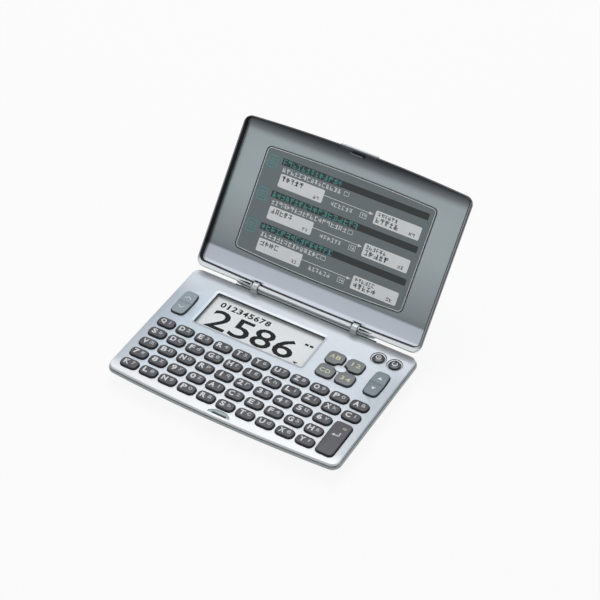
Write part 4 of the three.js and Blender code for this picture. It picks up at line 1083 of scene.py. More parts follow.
# %% Round buttons
BUTTON_RADIUS, BUTTON_TOP, BUTTON_EDGE, BUTTON_CROWN, FLANGE_RADIUS = 2.75, 9.45, 0.6, 0.42, 3.3
for index, x in enumerate(ROUND_XS):
    button = Skin()
    cap(button, ellipse(BUTTON_RADIUS, BUTTON_RADIUS, x, ROUND_Y, 48), (x, ROUND_Y),
        WEB_BOTTOM + 0.1, BUTTON_TOP, BUTTON_EDGE, BUTTON_CROWN, 7)
    rounded_block(button, ellipse(FLANGE_RADIUS, FLANGE_RADIUS, x, ROUND_Y, 48),
                  WEB_BOTTOM, WEB_TOP, 0.1)
    name = f"round_button_{index + 1}"
    hang(shape(f"round_cap_{index + 1}", button, button_black), name, "key_plastic", name)
print("round buttons:", len(ROUND_XS), "up to", round(BUTTON_TOP + BUTTON_CROWN, 2), "mm")

# %% [markdown]
# ## Printed marks
# The marks on the keys are plain letters, digits and arrows. Blender's own letter shapes are
# turned into flat meshes. Each letter is drawn once and then copied, which saves time.

# %% Letters as flat meshes
glyph_store = {}


def glyph(text, bold):
    """A letter's mesh, drawn once: points for a height of 1, about its own centre."""
    if (text, bold) not in glyph_store:
        font = bpy.data.curves.new("glyph", "FONT")
        font.body, font.size, font.offset, font.resolution_u = text, 1.0, bold, 3
        holder = bpy.data.objects.new("glyph", font)
        bpy.context.scene.collection.objects.link(holder)
        mesh = holder.to_mesh()
        points = [tuple(v.co) for v in mesh.vertices]
        faces = [tuple(p.vertices) for p in mesh.polygons]
        holder.to_mesh_clear()
        bpy.data.objects.remove(holder)
        xs, ys = [p[0] for p in points], [p[1] for p in points]
        mid_x, mid_y = (min(xs) + max(xs)) / 2, (min(ys) + max(ys)) / 2
        points = [(x - mid_x, y - mid_y) for x, y, _ in points]
        glyph_store[text, bold] = (points, faces, max(xs) - min(xs), max(ys) - min(ys))
    return glyph_store[text, bold]


print("faces of a letter A:", len(glyph("A", 0.02)[1]))

# %% [markdown]
# Ink is gathered in plan before it is laid on anything: letters, bars, bent lines, frames and
# plain shapes of many corners, all for one finish in one mesh.

# %% Gathering ink
WIDEST_STRETCH = 1.4


class Print:
    def __init__(self):
        self.points, self.faces = [], []

    def add(self, points, faces):
        start = len(self.points)
        self.points += points
        self.faces += [tuple(i + start for i in face) for face in faces]

    def text(self, text, x, y, height, width, bold):
        """A letter is stretched to the width given, but never by more than WIDEST_STRETCH."""
        points, faces, wide, tall = glyph(text, bold)
        scale_y = height / tall
        scale_x = min(WIDEST_STRETCH * scale_y, width / wide)
        self.add([(x + px * scale_x, y + py * scale_y) for px, py in points], faces)

    def bar(self, x0, y0, x1, y1):
        self.add([(x0, y0), (x1, y0), (x1, y1), (x0, y1)], [(0, 1, 2, 3)])

    def stroke(self, path, width):
        """A bent line of even width."""
        for (ax, ay), (bx, by) in zip(path, path[1:]):
            size = math.hypot(bx - ax, by - ay)
            ex, ey = (bx - ax) / size * width / 2, (by - ay) / size * width / 2
            self.add([(ax - ex - ey, ay - ey + ex), (ax - ex + ey, ay - ey - ex),
                      (bx + ex + ey, by + ey - ex), (bx + ex - ey, by + ey + ex)], [(0, 1, 2, 3)])

    def polygon(self, points):
        self.add(points, [tuple(range(len(points)))])

    def frame(self, x0, y0, x1, y1, width):
        self.stroke([(x0, y0), (x1, y0), (x1, y1), (x0, y1), (x0, y0)], width)


print("ink shapes:", ", ".join(kind for kind in vars(Print) if not kind.startswith("_")))

# %% [markdown]
# Print is laid on a crowned cap like a thin film: its faces are cut fine, each corner is dropped
# straight down on the cap and lifted a hair, and the film gets a closed underside and sides.

# %% Laying ink on a surface
PRINT_LIFT, PRINT_DEPTH, LONGEST_EDGE, MOST_CUTS = 0.02, 0.025, 0.45, 6


def cut_fine(ink):
    """Cuts the ink's faces until no edge is long, so they can follow a crowned cap."""
    work = bmesh.new()
    points = [work.verts.new((x, y, 0)) for x, y in ink.points]
    for face in ink.faces:
        work.faces.new([points[i] for i in face])
    for _ in range(MOST_CUTS):
        bmesh.ops.triangulate(work, faces=work.faces)
        long_edges = [e for e in work.edges if e.calc_length() > LONGEST_EDGE]
        if not long_edges:
            break
        bmesh.ops.subdivide_edges(work, edges=long_edges, cuts=1)
    fine = Print()
    work.verts.index_update()
    fine.add([(v.co.x, v.co.y) for v in work.verts],
             [tuple(v.index for v in f.verts) for f in work.faces])
    work.free()
    return fine


def lay(name, ink, material, body, slot, surface, matrix=None):
    """surface is a height, or a finished piece to drop the ink on."""
    if isinstance(surface, (int, float)):
        def height(x, y):
            return surface
    else:
        ink = cut_fine(ink)
        tree = BVHTree.FromPolygons([v.co / MM for v in surface.data.vertices],
                                    [p.vertices for p in surface.data.polygons])

        def height(x, y):
            hit = tree.ray_cast(Vector((x, y, 100)), Vector((0, 0, -1)))[0]
            return hit.z if hit else KEY_TOP
    skin = Skin()
    count = len(ink.points)
    skin.points = [(x, y, height(x, y) + PRINT_LIFT) for x, y in ink.points]
    skin.points += [(x, y, z - PRINT_DEPTH) for x, y, z in skin.points]
    for face in ink.faces:
        skin.add(face)
        skin.add(i + count for i in reversed(face))
    edges = dict.fromkeys(
        (a, b) for face in ink.faces for a, b in zip(face, face[1:] + face[:1]))
    for a, b in edges:
        if (b, a) not in edges:
            skin.add((b, a, a + count, b + count))
    return hang(shape(name, skin, material, matrix=matrix, smooth=False), body, slot)


print("film:", PRINT_DEPTH, "mm thick, in faces under", LONGEST_EDGE, "mm")

# %% [markdown]
# A bright letter or digit stands at the left of each cap, and a dimmer, smaller one at its upper
# right. Each row of keys has its marks in two meshes, one for each finish.

# %% Marks on the letter keys
MAIN_MARKS = ["QDERTYUZOPA", "SDFGHJKLZXC", "VBNR123456", "7890ACEFGH", "KLNPRSTUXY"]
SMALL_MARKS = ["1234567890a", "bcdefghijkl", "mnopqrstuv", "wxyz123456", "7890abcdef"]


def piece_named(name):
    return next(p for p in made if p.name == name)


for row, y in enumerate(ROW_Y):
    main, small = Print(), Print()
    for column in range(ROW_KEYS[row]):
        x = column_x(column)
        main.text(MAIN_MARKS[row][column], x - 1.45, y + 0.05, 2.8, 2.7, 0.035)
        small.text(SMALL_MARKS[row][column], x + 1.85, y + 0.4, 2.0, 1.9, 0.025)
    strip = piece_named(f"key_strip_{row + 1}")
    body = f"letter_keys_row_{row + 1}"
    lay(f"main_marks_{row + 1}", main, legend_white, body, "key_plastic", strip)
    lay(f"small_marks_{row + 1}", small, legend_dim, body, "key_plastic", strip)
print("glyphs drawn:", len(glyph_store))

# %% [markdown]
# The tall key carries a bent arrow and a small yellow sign. The mode keys have pale yellow
# letters and digits.

# %% Marks on the tall key and the mode keys
x, y = tall_centre
arrow = Print()
arrow.stroke([(x + 1.3, y + 3.4), (x + 1.3, y + 1.6), (x - 1.2, y + 1.6)], 0.5)
arrow.polygon([(x - 2.1, y + 1.6), (x - 0.9, y + 0.7), (x - 0.9, y + 2.5)])
lay("tall_key_arrow", arrow, legend_white, "enter_key", "enter_plastic", piece_named("tall_key"))
sign = Print()
sign.text("=", x + 1.6, y + 6.6, 1.0, 1.9, 0.01)
lay("tall_key_sign", sign, legend_yellow, "enter_key", "enter_plastic", piece_named("tall_key"))

for index, ((side_x, side_y), words) in enumerate(zip(MODE_PLACES, ["AB", "12", "CD", "34"])):
    marks = Print()
    cx, cy = MODE_X + side_x * 5.2, CLUSTER_Y + side_y * 4.9
    for word, offset in zip(words, (-1.45, 1.45)):
        marks.text(word, cx + offset, cy, 2.4, 2.3, 0.02)
    lay(f"mode_marks_{index + 1}", marks, legend_yellow, f"mode_key_{index + 1}",
        "mode_key_plastic", piece_named(f"mode_cap_{index + 1}"))
print("pieces so far:", len(made))

# %% [markdown]
# The left rocker has two open arrow heads and the right one two full ones. Each round button has
# most of a ring, and the first also a dash.

# %% Marks on the rockers and the round buttons
FROM_MIDDLE, LINE, RING_RADIUS, RING_START, RING_TURN, RING_STEPS = 3.3, 0.4, 1.15, 130, 280, 14
chevrons, arrows = Print(), Print()
for side in (1, -1):
    base_y = CLUSTER_Y + FROM_MIDDLE * side
    point = (-ROCKER_X, base_y + 0.6 * side)
    chevrons.stroke([(-ROCKER_X - 1.5, base_y - 0.5 * side), point], LINE)
    chevrons.stroke([point, (-ROCKER_X + 1.5, base_y - 0.5 * side)], LINE)
    tip = [(ROCKER_X - 1.2, base_y - 0.7 * side), (ROCKER_X + 1.2, base_y - 0.7 * side),
           (ROCKER_X, base_y + 0.95 * side)]
    arrows.polygon(tip[::side])
lay("left_rocker_marks", chevrons, legend_white, "left_rocker", "rocker_plastic",
    piece_named("left_rocker_cap"))
lay("right_rocker_marks", arrows, legend_white, "right_rocker", "rocker_plastic",
    piece_named("right_rocker_cap"))

for index, x in enumerate(ROUND_XS):
    mark = Print()
    turns = [math.radians(RING_START + RING_TURN * k / RING_STEPS) for k in range(RING_STEPS + 1)]
    mark.stroke([(x + RING_RADIUS * math.cos(turn), ROUND_Y + RING_RADIUS * math.sin(turn))
                 for turn in turns], LINE)
    if index == 0:
        mark.stroke([(x, ROUND_Y), (x, ROUND_Y + 1.4)], LINE)
    lay(f"round_mark_{index + 1}", mark, legend_white, f"round_button_{index + 1}", "key_plastic",
        piece_named(f"round_cap_{index + 1}"))
print("pieces so far:", len(made))

# %% [markdown]
# ## What the display shows
# A row of small digits stands over four big ones, with two small bars and a down arrow at the
# right. The panel is flat, so its ink needs no fine cutting.

# %% Display content
ink = Print()
for k, digit in enumerate("012345678"):
    ink.text(digit, -36.4 + 3.05 * k, 25.4, 3.4, 2.6, 0.03)
for digit, x in zip("2586", (-32.5, -20.5, -9.0, 2.75)):
    ink.text(digit, x, 15.85, 12.3, 10.6, 0.008)
ink.bar(9.6, 22.2, 11.4, 23.4)
ink.bar(12.1, 22.2, 13.9, 23.4)
ink.polygon([(10.1, 10.7), (11.5, 9.5), (12.9, 10.7)])
lay("display_digits", ink, lcd_ink, "base", "lcd_glass", LCD_TOP)
print("display marks:", len(ink.faces), "faces")

# %% [markdown]
# ## The lid
# The lid is drawn lying flat: x across, y from the hinge's axis to the free edge, z towards its
# inside. One matrix then turns it to where the CAD has it. The lid, the recess in it and the card
# have outlines of the same kind, with as many points each, so they can be joined. The floor of
# the recess slopes up to the hinge and sweeps up in a curve to the free edge.

# %% The lid's measures and outlines
LID_TURN = Matrix.Translation((0, HINGE_Y * MM, HINGE_Z * MM)) @ Matrix.Rotation(LID_LEAN, 4, "X")
LID_FLOOR, SPLIT, RIM_TOP, NEST = -0.8, -1.2, 2.2, -2.0
SLOPE_RISE, SLOPE_END, SLOPE_LONG = 0.9, 12.3, 11.2
SWEEP_RISE, SWEEP_START, SWEEP_LONG = 2.2, 66.9, 10.0
SIDE_STEPS = 40
lid_outline = bowed(60.0, -0.15, 77.4, 0.1, 1.9, 4.0, side_steps=SIDE_STEPS)
recess_outline = bowed(58.8, 2.03, 76.7, 0.75, 1.9, 2.8, side_steps=SIDE_STEPS)
card_outline = bowed(44.9, 13.1, 66.0, 1.2, 1.0, 2.5, side_steps=SIDE_STEPS)


def lid_floor(x, y):
    slope = SLOPE_RISE * max(0.0, SLOPE_END - y) / SLOPE_LONG
    sweep = SWEEP_RISE * (max(0.0, y - SWEEP_START) / SWEEP_LONG) ** 2
    return LID_FLOOR + slope + sweep


print("the floor rises by", round(lid_floor(0, 76.7) - LID_FLOOR, 2), "mm at the free edge")

# %% [markdown]
# The inner half of the lid is a pan, drawn as one skin. It runs up the outer flank, over the rim,
# down the wall of the recess and across its floor to a pocket for the card. The rim has a finish
# of its own with painted highlight and shade, and the wall is painted dark as shade. The floor is
# drawn in many narrow bands, so that its curves are smooth.

# %% The skin of the pan
BAND_STEPS, FLANK_LEAN, FLANK_HIGH = 34, 0.5, 2.2
pan = Skin()
column = [pan.ring(lid_outline(-2.3), NEST), pan.ring(lid_outline(-2.3), SPLIT),
          pan.ring(lid_outline(-0.6), SPLIT)]
column += [pan.ring(lid_outline(-FLANK_LEAN * (1 - t) ** 2), SPLIT + 0.1 + FLANK_HIGH * t)
           for t in (0, 0.25, 0.5, 0.75, 1)]
column += [pan.ring(lid_outline(-inset), RIM_TOP - down) for inset, down in edge(0.6, 6, 1.1)]
recess_edge = [pan.ring(recess_outline(grow), RIM_TOP - down)
               for grow, down in reversed(edge(0.3, 4))]
pan.tint = 1
pan.chain([*column, recess_edge[0]])
pan.tint = 2
wall = [pan.ring(recess_outline(-inset), lambda x, y, r=rise: lid_floor(x, y) + r)
        for inset, rise in [(0.0, 0.3), (0.06, 0.12), (0.16, 0.03), (0.3, 0.0)]]
pan.chain(recess_edge + wall)
pan.tint = 0
wall_path, card_path = recess_outline(-0.3), card_outline(0.32)
band = [wall[-1]]
for t in [k / BAND_STEPS for k in range(1, BAND_STEPS + 1)]:
    band.append(pan.ring([(ax + (bx - ax) * t, ay + (by - ay) * t)
                          for (ax, ay), (bx, by) in zip(wall_path, card_path)], lid_floor))
pocket = [pan.ring(card_outline(grow), LID_FLOOR - depth)
          for grow, depth in [(0.24, 0.03), (0.2, 0.12), (0.2, 0.7)]]
pan.chain(band + pocket)
pan.flat(pocket[-1])
pan.flat(column[0])
print("pan:", len(pan.faces), "faces before the notches")

# %% [markdown]
# The lid needs room for the two knuckles. Here a Boolean is the right tool: a notch is a plain
# round cut through curved walls. The cut is made for good, so the mesh itself is the finished
# shape, and the surfaces of the cut take the finish of the rod that cuts them: painted dark shade.

# %% Notches for the knuckles, and the finished pan
NOTCH_PLAY, NOTCH_HALF = 0.6, 1.9


def carve(piece, cutters):
    """Takes the cutters out of a piece for good, with Blender's Boolean."""
    for cutter in cutters:
        cut = piece.modifiers.new("cut", "BOOLEAN")
        cut.operation, cut.solver, cut.object = "DIFFERENCE", "EXACT", cutter
        cut.material_mode = "TRANSFER"
        piece.modifiers.move(len(piece.modifiers) - 1, 0)
        bpy.context.view_layer.update()
        carved = bpy.data.meshes.new_from_object(
            piece.evaluated_get(bpy.context.evaluated_depsgraph_get()))
        piece.modifiers.clear()
        old, name = piece.data, piece.name
        piece.data = carved
        bpy.data.meshes.remove(old)
        carved.name = name
    for cutter in cutters:
        made.remove(cutter)
        bpy.data.objects.remove(cutter)
    shade_evenly(piece)
    return piece


def rod(name, radius, x0, x1, sides=40):
    skin = Skin()
    sideways(skin, ellipse(radius, radius, 0, 0, sides), x0, x1, 0.05)
    # the rod's finish is painted shade, and it passes onto the faces the rod cuts
    return shape(name, skin, recess_shade, matrix=LID_TURN)


def knuckle_rods():
    return [rod("notch", LUG_RADIUS + NOTCH_PLAY, x - NOTCH_HALF, x + NOTCH_HALF)
            for x in (-LUG_X, LUG_X)]


lid_pan = carve(shape("lid_pan", pan, lid_silver, rim_silver, recess_shade, matrix=LID_TURN),
                knuckle_rods())
hang(lid_pan, "lid", "lid_plastic", "lid_inner_frame")
print("lid pan:", len(lid_pan.data.polygons), "faces")

# %% [markdown]
# The outer half is a shallow dish with a generous oval edge. It nests over the pan's underside
# and leaves a fine parting line between them. Its hinge side is cut away for the barrel and
# knuckles, and the faces of the cut are painted dark as shade.

# %% The lid's outer cover
COVER_INNER, COVER_TOP, COVER_INSET, COVER_LIP = -2.15, -1.45, 0.5, 0.08
OVAL_WIDE, OVAL_HIGH, COVER_STEPS, BARREL_ROOM = 4.5, 1.47, 9, 2.15
shell = Skin()
inner = [shell.ring(lid_outline(-2.0), z) for z in (COVER_INNER, COVER_TOP - 0.1)]
inner.append(shell.ring(lid_outline(-1.9), COVER_TOP))
oval_edge = [(OVAL_WIDE * (1 - math.cos(turn)), OVAL_HIGH * math.sin(turn))
             for turn in [QUARTER * k / COVER_STEPS for k in range(COVER_STEPS + 1)]]
outer = [shell.ring(lid_outline(-COVER_INSET - inset), COVER_TOP - COVER_LIP - down)
         for inset, down in [(COVER_LIP, -COVER_LIP), *oval_edge]]
shell.chain(inner + outer)
shell.flat(inner[0])
shell.flat(outer[-1])
cover = carve(shape("lid_cover", shell, lid_shell_silver, matrix=LID_TURN),
              [*knuckle_rods(), rod("barrel_room", BARREL_ROOM, -61, 61)])
hang(cover, "lid", "lid_plastic", "lid_outer_cover")
print("lid cover:", len(cover.data.polygons), "faces")

# %% [markdown]
# ## The hinge
# A long barrel between the knuckles and a tapering ear outside each of them carry the lid on two
# steel pins. They are turned shapes about the hinge's axis, so each is given as a short list of
# places along the axis and radii there.

# %% Barrel and ears
BARREL_RADIUS, BARREL_BEVEL, LUG_PLAY = 1.7, 0.25, 0.3
EAR_END, EAR_TIP, EAR_STRAIGHT, EAR_BLUNT = 37.4, 0.8, 2.0, 0.6


def turned_along_x(skin, profile, sides=40):
    """profile is a list of (x, radius); both ends are closed."""
    start = len(skin.points)
    rings = skin.chain([skin.ring(ellipse(r, r, 0, 0, sides)(), x) for x, r in profile])
    skin.flat(rings[0])
    skin.flat(rings[-1])
    skin.points[start:] = [(z, x, y) for x, y, z in skin.points[start:]]


barrel = Skin()
inner_end = LUG_X - LUG_WIDTH / 2 - LUG_PLAY
outer_end = LUG_X + LUG_WIDTH / 2 + LUG_PLAY
barrel_end = BARREL_RADIUS - BARREL_BEVEL
turned_along_x(barrel, [
    (-inner_end, barrel_end), (-inner_end + BARREL_BEVEL, BARREL_RADIUS),
    (inner_end - BARREL_BEVEL, BARREL_RADIUS), (inner_end, barrel_end)])
taper_start = outer_end + EAR_STRAIGHT
taper = [(outer_end, barrel_end), (outer_end + BARREL_BEVEL, BARREL_RADIUS),
         (taper_start, BARREL_RADIUS)]
taper += [(taper_start + (EAR_END - taper_start) * t,
           BARREL_RADIUS - (BARREL_RADIUS - EAR_TIP) * t * t) for t in (0.25, 0.5, 0.75, 0.92)]
taper += [(EAR_END, EAR_TIP * EAR_BLUNT)]
for side in (-1, 1):
    turned_along_x(barrel, [(side * x, radius) for x, radius in taper])
hang(shape("hinge_barrel", barrel, hinge_silver, matrix=LID_TURN), "lid", "lid_plastic")
print("barrel:", round(2 * inner_end, 2), "mm long, play at a knuckle:", LUG_PLAY, "mm")

# %% [markdown]
# Dark lines mark the seams of the hinge: one along the barrel, one on each ear, and a gap shaped
# like half a lens where an ear grows out of the rim. They are painted shade: thin dark solids half
# sunk in the silver, because a seam that narrow would vanish if it were a real groove. A dark
# strip on the plate is painted shadow under the barrel.

# %% Painted shade of the seams, and the painted shadow under the barrel
SEAM_Y, SEAM_Z, SEAM_END, SEAM_PLAY = -0.5, 1.5, 34.4, 0.3
GAP_Y, GAP_HALF, GAP_LONG, GAP_START = 1.0, 0.46, 7.2, 0.4
SHADOW_STRIP_LOW, SHADOW_STRIP_HIGH = 8.5, 9.12


def ear_gap_shade(side, steps=10):
    """Half a lens in plan: wide at the knuckle, pointed where the ear ends."""
    def outline(grow=0.0):
        start, half_width = outer_end + GAP_START, GAP_HALF + grow
        far = [(start + GAP_LONG * k / steps, half_width * (1 - (k / steps) ** 2))
               for k in range(steps + 1)]
        half = far + [(x, -y) for x, y in reversed(far[:-1])]
        return [(side * x, GAP_Y + y) for x, y in half]
    return outline


seams = Skin()
sideways(seams, ellipse(0.14, 0.26, SEAM_Y, SEAM_Z, 16), SEAM_PLAY - inner_end,
         inner_end - SEAM_PLAY, 0.1)
for side in (-1, 1):
    ends = sorted((side * (outer_end + SEAM_PLAY), side * SEAM_END))
    sideways(seams, ellipse(0.2, 0.34, SEAM_Y, SEAM_Z - 0.1, 16), *ends, 0.1)
    rounded_block(seams, ear_gap_shade(side), RIM_TOP - 0.4, RIM_TOP + 0.03, 0.02)
hang(shape("hinge_seam_shade", seams, recess_shade, matrix=LID_TURN), "lid", "lid_plastic")
strip = Skin()
# painted shadow of the barrel, lying on the plate
rounded_block(strip, rounded_rect(76.0, 0.7, 0.15, 0, 38.75), SHADOW_STRIP_LOW, SHADOW_STRIP_HIGH, 0.12)
hang(shape("shadow_strip_under_barrel", strip, key_side_shade), "base", "foot_rubber")
print("the strip stands", round(SHADOW_STRIP_HIGH - FASCIA_TOP, 2), "mm above the plate")

# %% [markdown]
# At the free edge the lid's own moulding has a lip for the thumb and a hook with a small barb.
# With the lid closed, the hook enters the slot in the finger scoop.

# %% Thumb lip and hook
LIP_Y, LIP_LOW, LIP_HIGH = 77.05, -0.3, 1.3
HOOK_Y, HOOK_HIGH, BARB_Y, BARB_LOW, BARB_HIGH, TINY_CROWN = 75.0, 3.3, 74.85, 2.6, 3.15, 0.02
lip = Skin()
cap(lip, rounded_rect(20.0, 1.7, 0.7, 0, LIP_Y, 8), (0, LIP_Y), LIP_LOW, LIP_HIGH, 0.5,
    TINY_CROWN, 4)
hang(shape("thumb_lip", lip, lid_shell_silver, matrix=LID_TURN), "lid", "lid_plastic")
hook = Skin()
for outline, y, low, high, radius in (
        (rounded_rect(7.0, 0.6, 0.2, 0, HOOK_Y), HOOK_Y, LID_FLOOR, HOOK_HIGH, 0.18),
        (rounded_rect(6.4, 0.9, 0.25, 0, BARB_Y), BARB_Y, BARB_LOW, BARB_HIGH, 0.2)):
    cap(hook, outline, (0, y), low, high, radius, TINY_CROWN, 3)
hang(shape("catch_hook", hook, lid_silver, matrix=LID_TURN), "lid", "lid_plastic")
print("the hook stands", round(HOOK_HIGH - RIM_TOP, 2), "mm above the rim")

# %% [markdown]
# ## The reference card
# A satin card lies in the lid's pocket. Its lines of print are rows of plain dashes: a few
# strokes along the line and a few across it for each mark. Chance places them, from a fixed seed,
# so they look uneven, as print does from afar, but come out the same on every run.

# %% The card, and a helper for its lines of print
CARD_THICK, STROKE_SHARE, GAP_SHARE = 0.4, 0.15, 0.25
card = Skin()
rounded_block(card, card_outline, LID_FLOOR - CARD_THICK, LID_FLOOR, 0.1)
hang(shape("card", card, guide_grey, matrix=LID_TURN), "lid", "guide_plate", "guide_plate")
chance = random.Random(7)


def dashes(ink, x0, x1, y, height):
    """A row of small crossed strokes between x0 and x1, with its middle at y."""
    x, thick = x0, height * STROKE_SHARE
    while x < x1 - height * 0.8:
        wide = height * chance.uniform(0.65, 0.9)
        for level in chance.sample([-0.5, -0.2, 0.08, 0.35], 2):
            ink.bar(x, y + level * height, x + wide, y + level * height + thick)
        for _ in range(chance.choice([1, 2])):
            at = x + (wide - thick) * chance.random()
            ink.bar(at, y - height / 2, at + thick, y + height / 2)
        x += wide + height * GAP_SHARE


print("card:", len(card.faces), "faces")

# %% [markdown]
# A dark line round the card's edge is painted shadow from the edge of the pocket, and a pale line
# runs inside it. Inside them the print has three equal blocks: a dark title bar, a line of text,
# two pale boxes joined by an arrow, and a small outlined square at the left. Only the lengths of
# the text differ. Every finish gets its own mesh, at its own small height where one lies over
# another.

# %% The print on the card
BLOCK_PITCH = 15.85
dark, white, teal, grey_ink = Print(), Print(), Print(), Print()
# the dark ring round the card's edge is painted shadow from the pocket's edge
for target, outer, inner in ((dark, -0.1, -0.45), (white, -0.45, -0.72)):
    outline_out, outline_in = card_outline(outer), card_outline(inner)
    count = len(outline_out)
    target.add(outline_out + outline_in,
               [(k, (k + 1) % count, (k + 1) % count + count, k + count) for k in range(count)])
for block, (title_end, text_end) in enumerate([(-2.5, 1.5), (13.0, 9.5), (4.0, 1.0)]):
    drop = BLOCK_PITCH * block
    dark.bar(-35.5, 58.5 - drop, 42.0, 61.7 - drop)
    dashes(teal, -34.8, title_end, 60.1 - drop, 2.5)
    dashes(white, -34.0, text_end - 3.0, 56.5 - drop, 2.1)
    white.frame(text_end - 2.4, 55.6 - drop, text_end, 57.4 - drop, 0.2)
    for middle in (-22.1, 28.9):
        white.polygon(rounded_rect(23.8, 6.35, 0.7, middle, 51.4 - drop)())
    dashes(grey_ink, -32.8, -21.5, 52.6 - drop, 2.4)
    dashes(grey_ink, -15.0, -11.2, 49.8 - drop, 1.5)
    dashes(grey_ink, 18.2, 29.0, 53.0 - drop, 1.7)
    dashes(grey_ink, 18.2, 31.5, 50.4 - drop, 2.4)
    dashes(grey_ink, 35.5, 39.8, 49.9 - drop, 1.5)
    white.bar(-10.2, 52.1 - drop, 14.2, 52.35 - drop)
    white.polygon([(14.0, 51.5 - drop), (16.2, 52.22 - drop), (14.0, 52.95 - drop)])
    dashes(white, -5.5, 7.5, 49.9 - drop, 1.9)
    white.frame(10.0, 48.9 - drop, 13.3, 51.1 - drop, 0.22)
    dashes(white, 10.7, 13.0, 50.0 - drop, 1.2)
    teal.frame(-42.5, 55.6 - drop, -37.7, 61.4 - drop, 0.4)
    for rise in (57.3, 58.5, 59.7):
        teal.bar(-41.6, rise - 0.18 - drop, -38.6, rise + 0.18 - drop)
for name, print_ink, material, height in [
        ("card_bars_and_edge_shade", dark, print_and_shade_black, 0.0), ("card_white", white, print_white, 0.005),
        ("card_teal", teal, print_teal, 0.02), ("card_grey", grey_ink, print_and_shade_black, 0.02)]:
    lay(name, print_ink, material, "lid", "guide_plate", LID_FLOOR + height, LID_TURN)
print("card print:", sum(len(ink.faces) for ink in (dark, white, teal, grey_ink)), "marks")

# %% [markdown]
# ## Underside
# Four rubber feet are low discs with a round lower edge. They stand half a millimetre proud of
# the underside and reach up into their pockets.

# %% Rubber feet
FOOT_RADIUS, FOOT_PROUD, FOOT_TOP = 3.0, 0.5, 0.55
for index, (x, y) in enumerate(FEET):
    foot = Skin()
    disc = ellipse(FOOT_RADIUS, FOOT_RADIUS, x, y, 40)
    under = [foot.ring(disc(-inset), -FOOT_PROUD + down) for inset, down in edge(0.35)][::-1]
    rings = foot.chain(under + [foot.ring(disc(), FOOT_TOP)])
    foot.flat(rings[0])
    foot.flat(rings[-1])
    name = f"rubber_foot_{index + 1}"
    hang(shape(f"foot_pad_{index + 1}", foot, foot_rubber), "base", "foot_rubber", name)
print("feet:", len(FEET), "each", 2 * FOOT_RADIUS, "mm across")

# %% [markdown]
# The battery cover is a thin plate with a sunk hole for its screw at one end and six short
# grooves at the other, where a thumb pushes.

# %% Battery cover
COVER_SCREW_X, COVER_THICK, GROOVES, GROOVE_X, GROOVE_PITCH = 17.6, 1.0, 6, -29.0, 1.6
cover_plate = Skin()
cover_edge = rounded_rect(54.0, 24.6, 1.5, COVER_X, DISPLAY_Y)
low = [cover_plate.ring(cover_edge(-i), d) for i, d in edge(0.15, 3)][::-1]
high = [cover_plate.ring(cover_edge(), COVER_THICK)]
cover_plate.chain(low + high)
sink = [cover_plate.ring(ellipse(r, r, COVER_SCREW_X, DISPLAY_Y, 32)(), z)
        for r, z in [(1.85, 0), (1.75, 0.1), (1.75, 0.5), (0.8, 0.5), (0.8, COVER_THICK)]]
cover_plate.chain(sink)
grips = []
for k in range(GROOVES):
    groove = rounded_rect(0.7, 8.0, 0.34, GROOVE_X + GROOVE_PITCH * k, DISPLAY_Y)
    rings = cover_plate.chain([cover_plate.ring(groove(g), z)
                               for g, z in [(0.08, 0), (0.0, 0.08), (-0.12, 0.3)]])
    cover_plate.flat(rings[-1])
    grips.append(rings[0])
cover_plate.flat(low[0], [sink[0], *grips])
cover_plate.flat(high[0], [sink[-1]])
hang(shape("battery_door", cover_plate, case_silver), "base", "case_plastic", "battery_cover")
print("battery cover:", len(cover_plate.faces), "faces")

# %% [markdown]
# A screw is a low disc on a shank, with a cross-shaped recess in its head. It is drawn by one
# function and used for all five screws.

# %% Screws
HEAD_RADIUS, SHANK_RADIUS, POINT = 1.6, 0.7, 0.4


def cross(reach, half):
    """The plan of a cross-shaped recess, anticlockwise."""
    arms = [(reach, -half), (reach, half), (half, half), (half, reach), (-half, reach),
            (-half, half)]
    return arms + [(-x, -y) for x, y in arms]


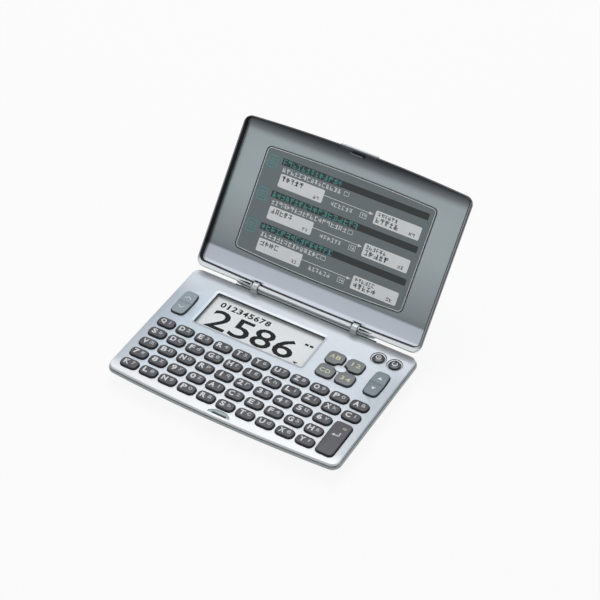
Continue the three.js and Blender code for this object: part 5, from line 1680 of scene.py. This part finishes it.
def screw(name, cad_node, x, y, under, head, tip):
    skin = Skin()
    disc = ellipse(HEAD_RADIUS, HEAD_RADIUS, x, y, 36)
    shank = ellipse(SHANK_RADIUS, SHANK_RADIUS, x, y, 36)
    column = [skin.ring(disc(-inset), under + down) for inset, down in edge(0.25, 4)][::-1]
    column += [skin.ring(disc(), under + head), skin.ring(shank(), under + head),
               skin.ring(shank(), tip - POINT), skin.ring(shank(-POINT), tip)]
    skin.chain(column)
    recess = skin.chain([skin.ring([(x + px, y + py) for px, py in cross(reach, half)], under + z)
                         for reach, half, z in [(0.95, 0.2, 0.0), (0.5, 0.12, head * 0.7)]])
    skin.flat(recess[1])
    skin.flat(column[0], [recess[0]])
    skin.flat(column[-1])
    hang(shape(name, skin, screw_steel), "base", "steel", cad_node)


for index, (x, y) in enumerate(SCREWS):
    screw(f"case_bolt_{index + 1}", f"case_screw_{index + 1}", x, y, 0.1, 0.8, 7.5)
screw("cover_bolt", "battery_cover_screw", COVER_SCREW_X, DISPLAY_Y, 0.02, 0.42, 2.7)
print("screws:", len(SCREWS) + 1)

# %% [markdown]
# ## Inside
# The electronics and cells stay as the CAD's own solids, with finishes of their own: a green
# board, matt chips, bright cells and springs, and rubber.

# %% Finishes for the carried-over solids
board_green = moulded("board_green", (46, 108, 68), 0.35, 0.0, 0.15, 3, 0.4, 0.01, coat=0.3)
chip_black = moulded("chip_black", (36, 36, 38), 0.55, 0.0, 0.08, 2, 0.3, 0.01)
plated_steel = moulded("plated_steel", (190, 192, 196), 0.24, 1.0, 0.05, 3, 0.25, 0.006)
dome_rubber = moulded("dome_rubber", (150, 164, 156), 0.7, 0.0, 0.06, 4, 0.5, 0.02)
contact_rubber = moulded("contact_rubber", (36, 36, 40), 0.8, 0.0, 0.1, 1, 0.3, 0.02)
holder_white = moulded("holder_white", (228, 228, 222), 0.5, 0.0, 0.03, 8, 0.4, 0.01)
INSIDE = {
    "main_board": board_green, "controller_chip": chip_black,
    "dictionary_memory_chip": chip_black, "clock_crystal": plated_steel,
    "key_dome_mat": dome_rubber, "lcd_contact_strip": contact_rubber,
    "lcd_holder": holder_white, "hinge_pin_left": plated_steel, "hinge_pin_right": plated_steel,
    **{f"{part}_{k}": plated_steel
       for part in ("coin_cell", "battery_spring", "battery_side_contact") for k in (1, 2)},
}
for cad_node, material in INSIDE.items():
    for material_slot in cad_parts[cad_node].material_slots:
        material_slot.link = "OBJECT"
        material_slot.material = material
print("solids with a finish of their own:", len(INSIDE))

# %% [markdown]
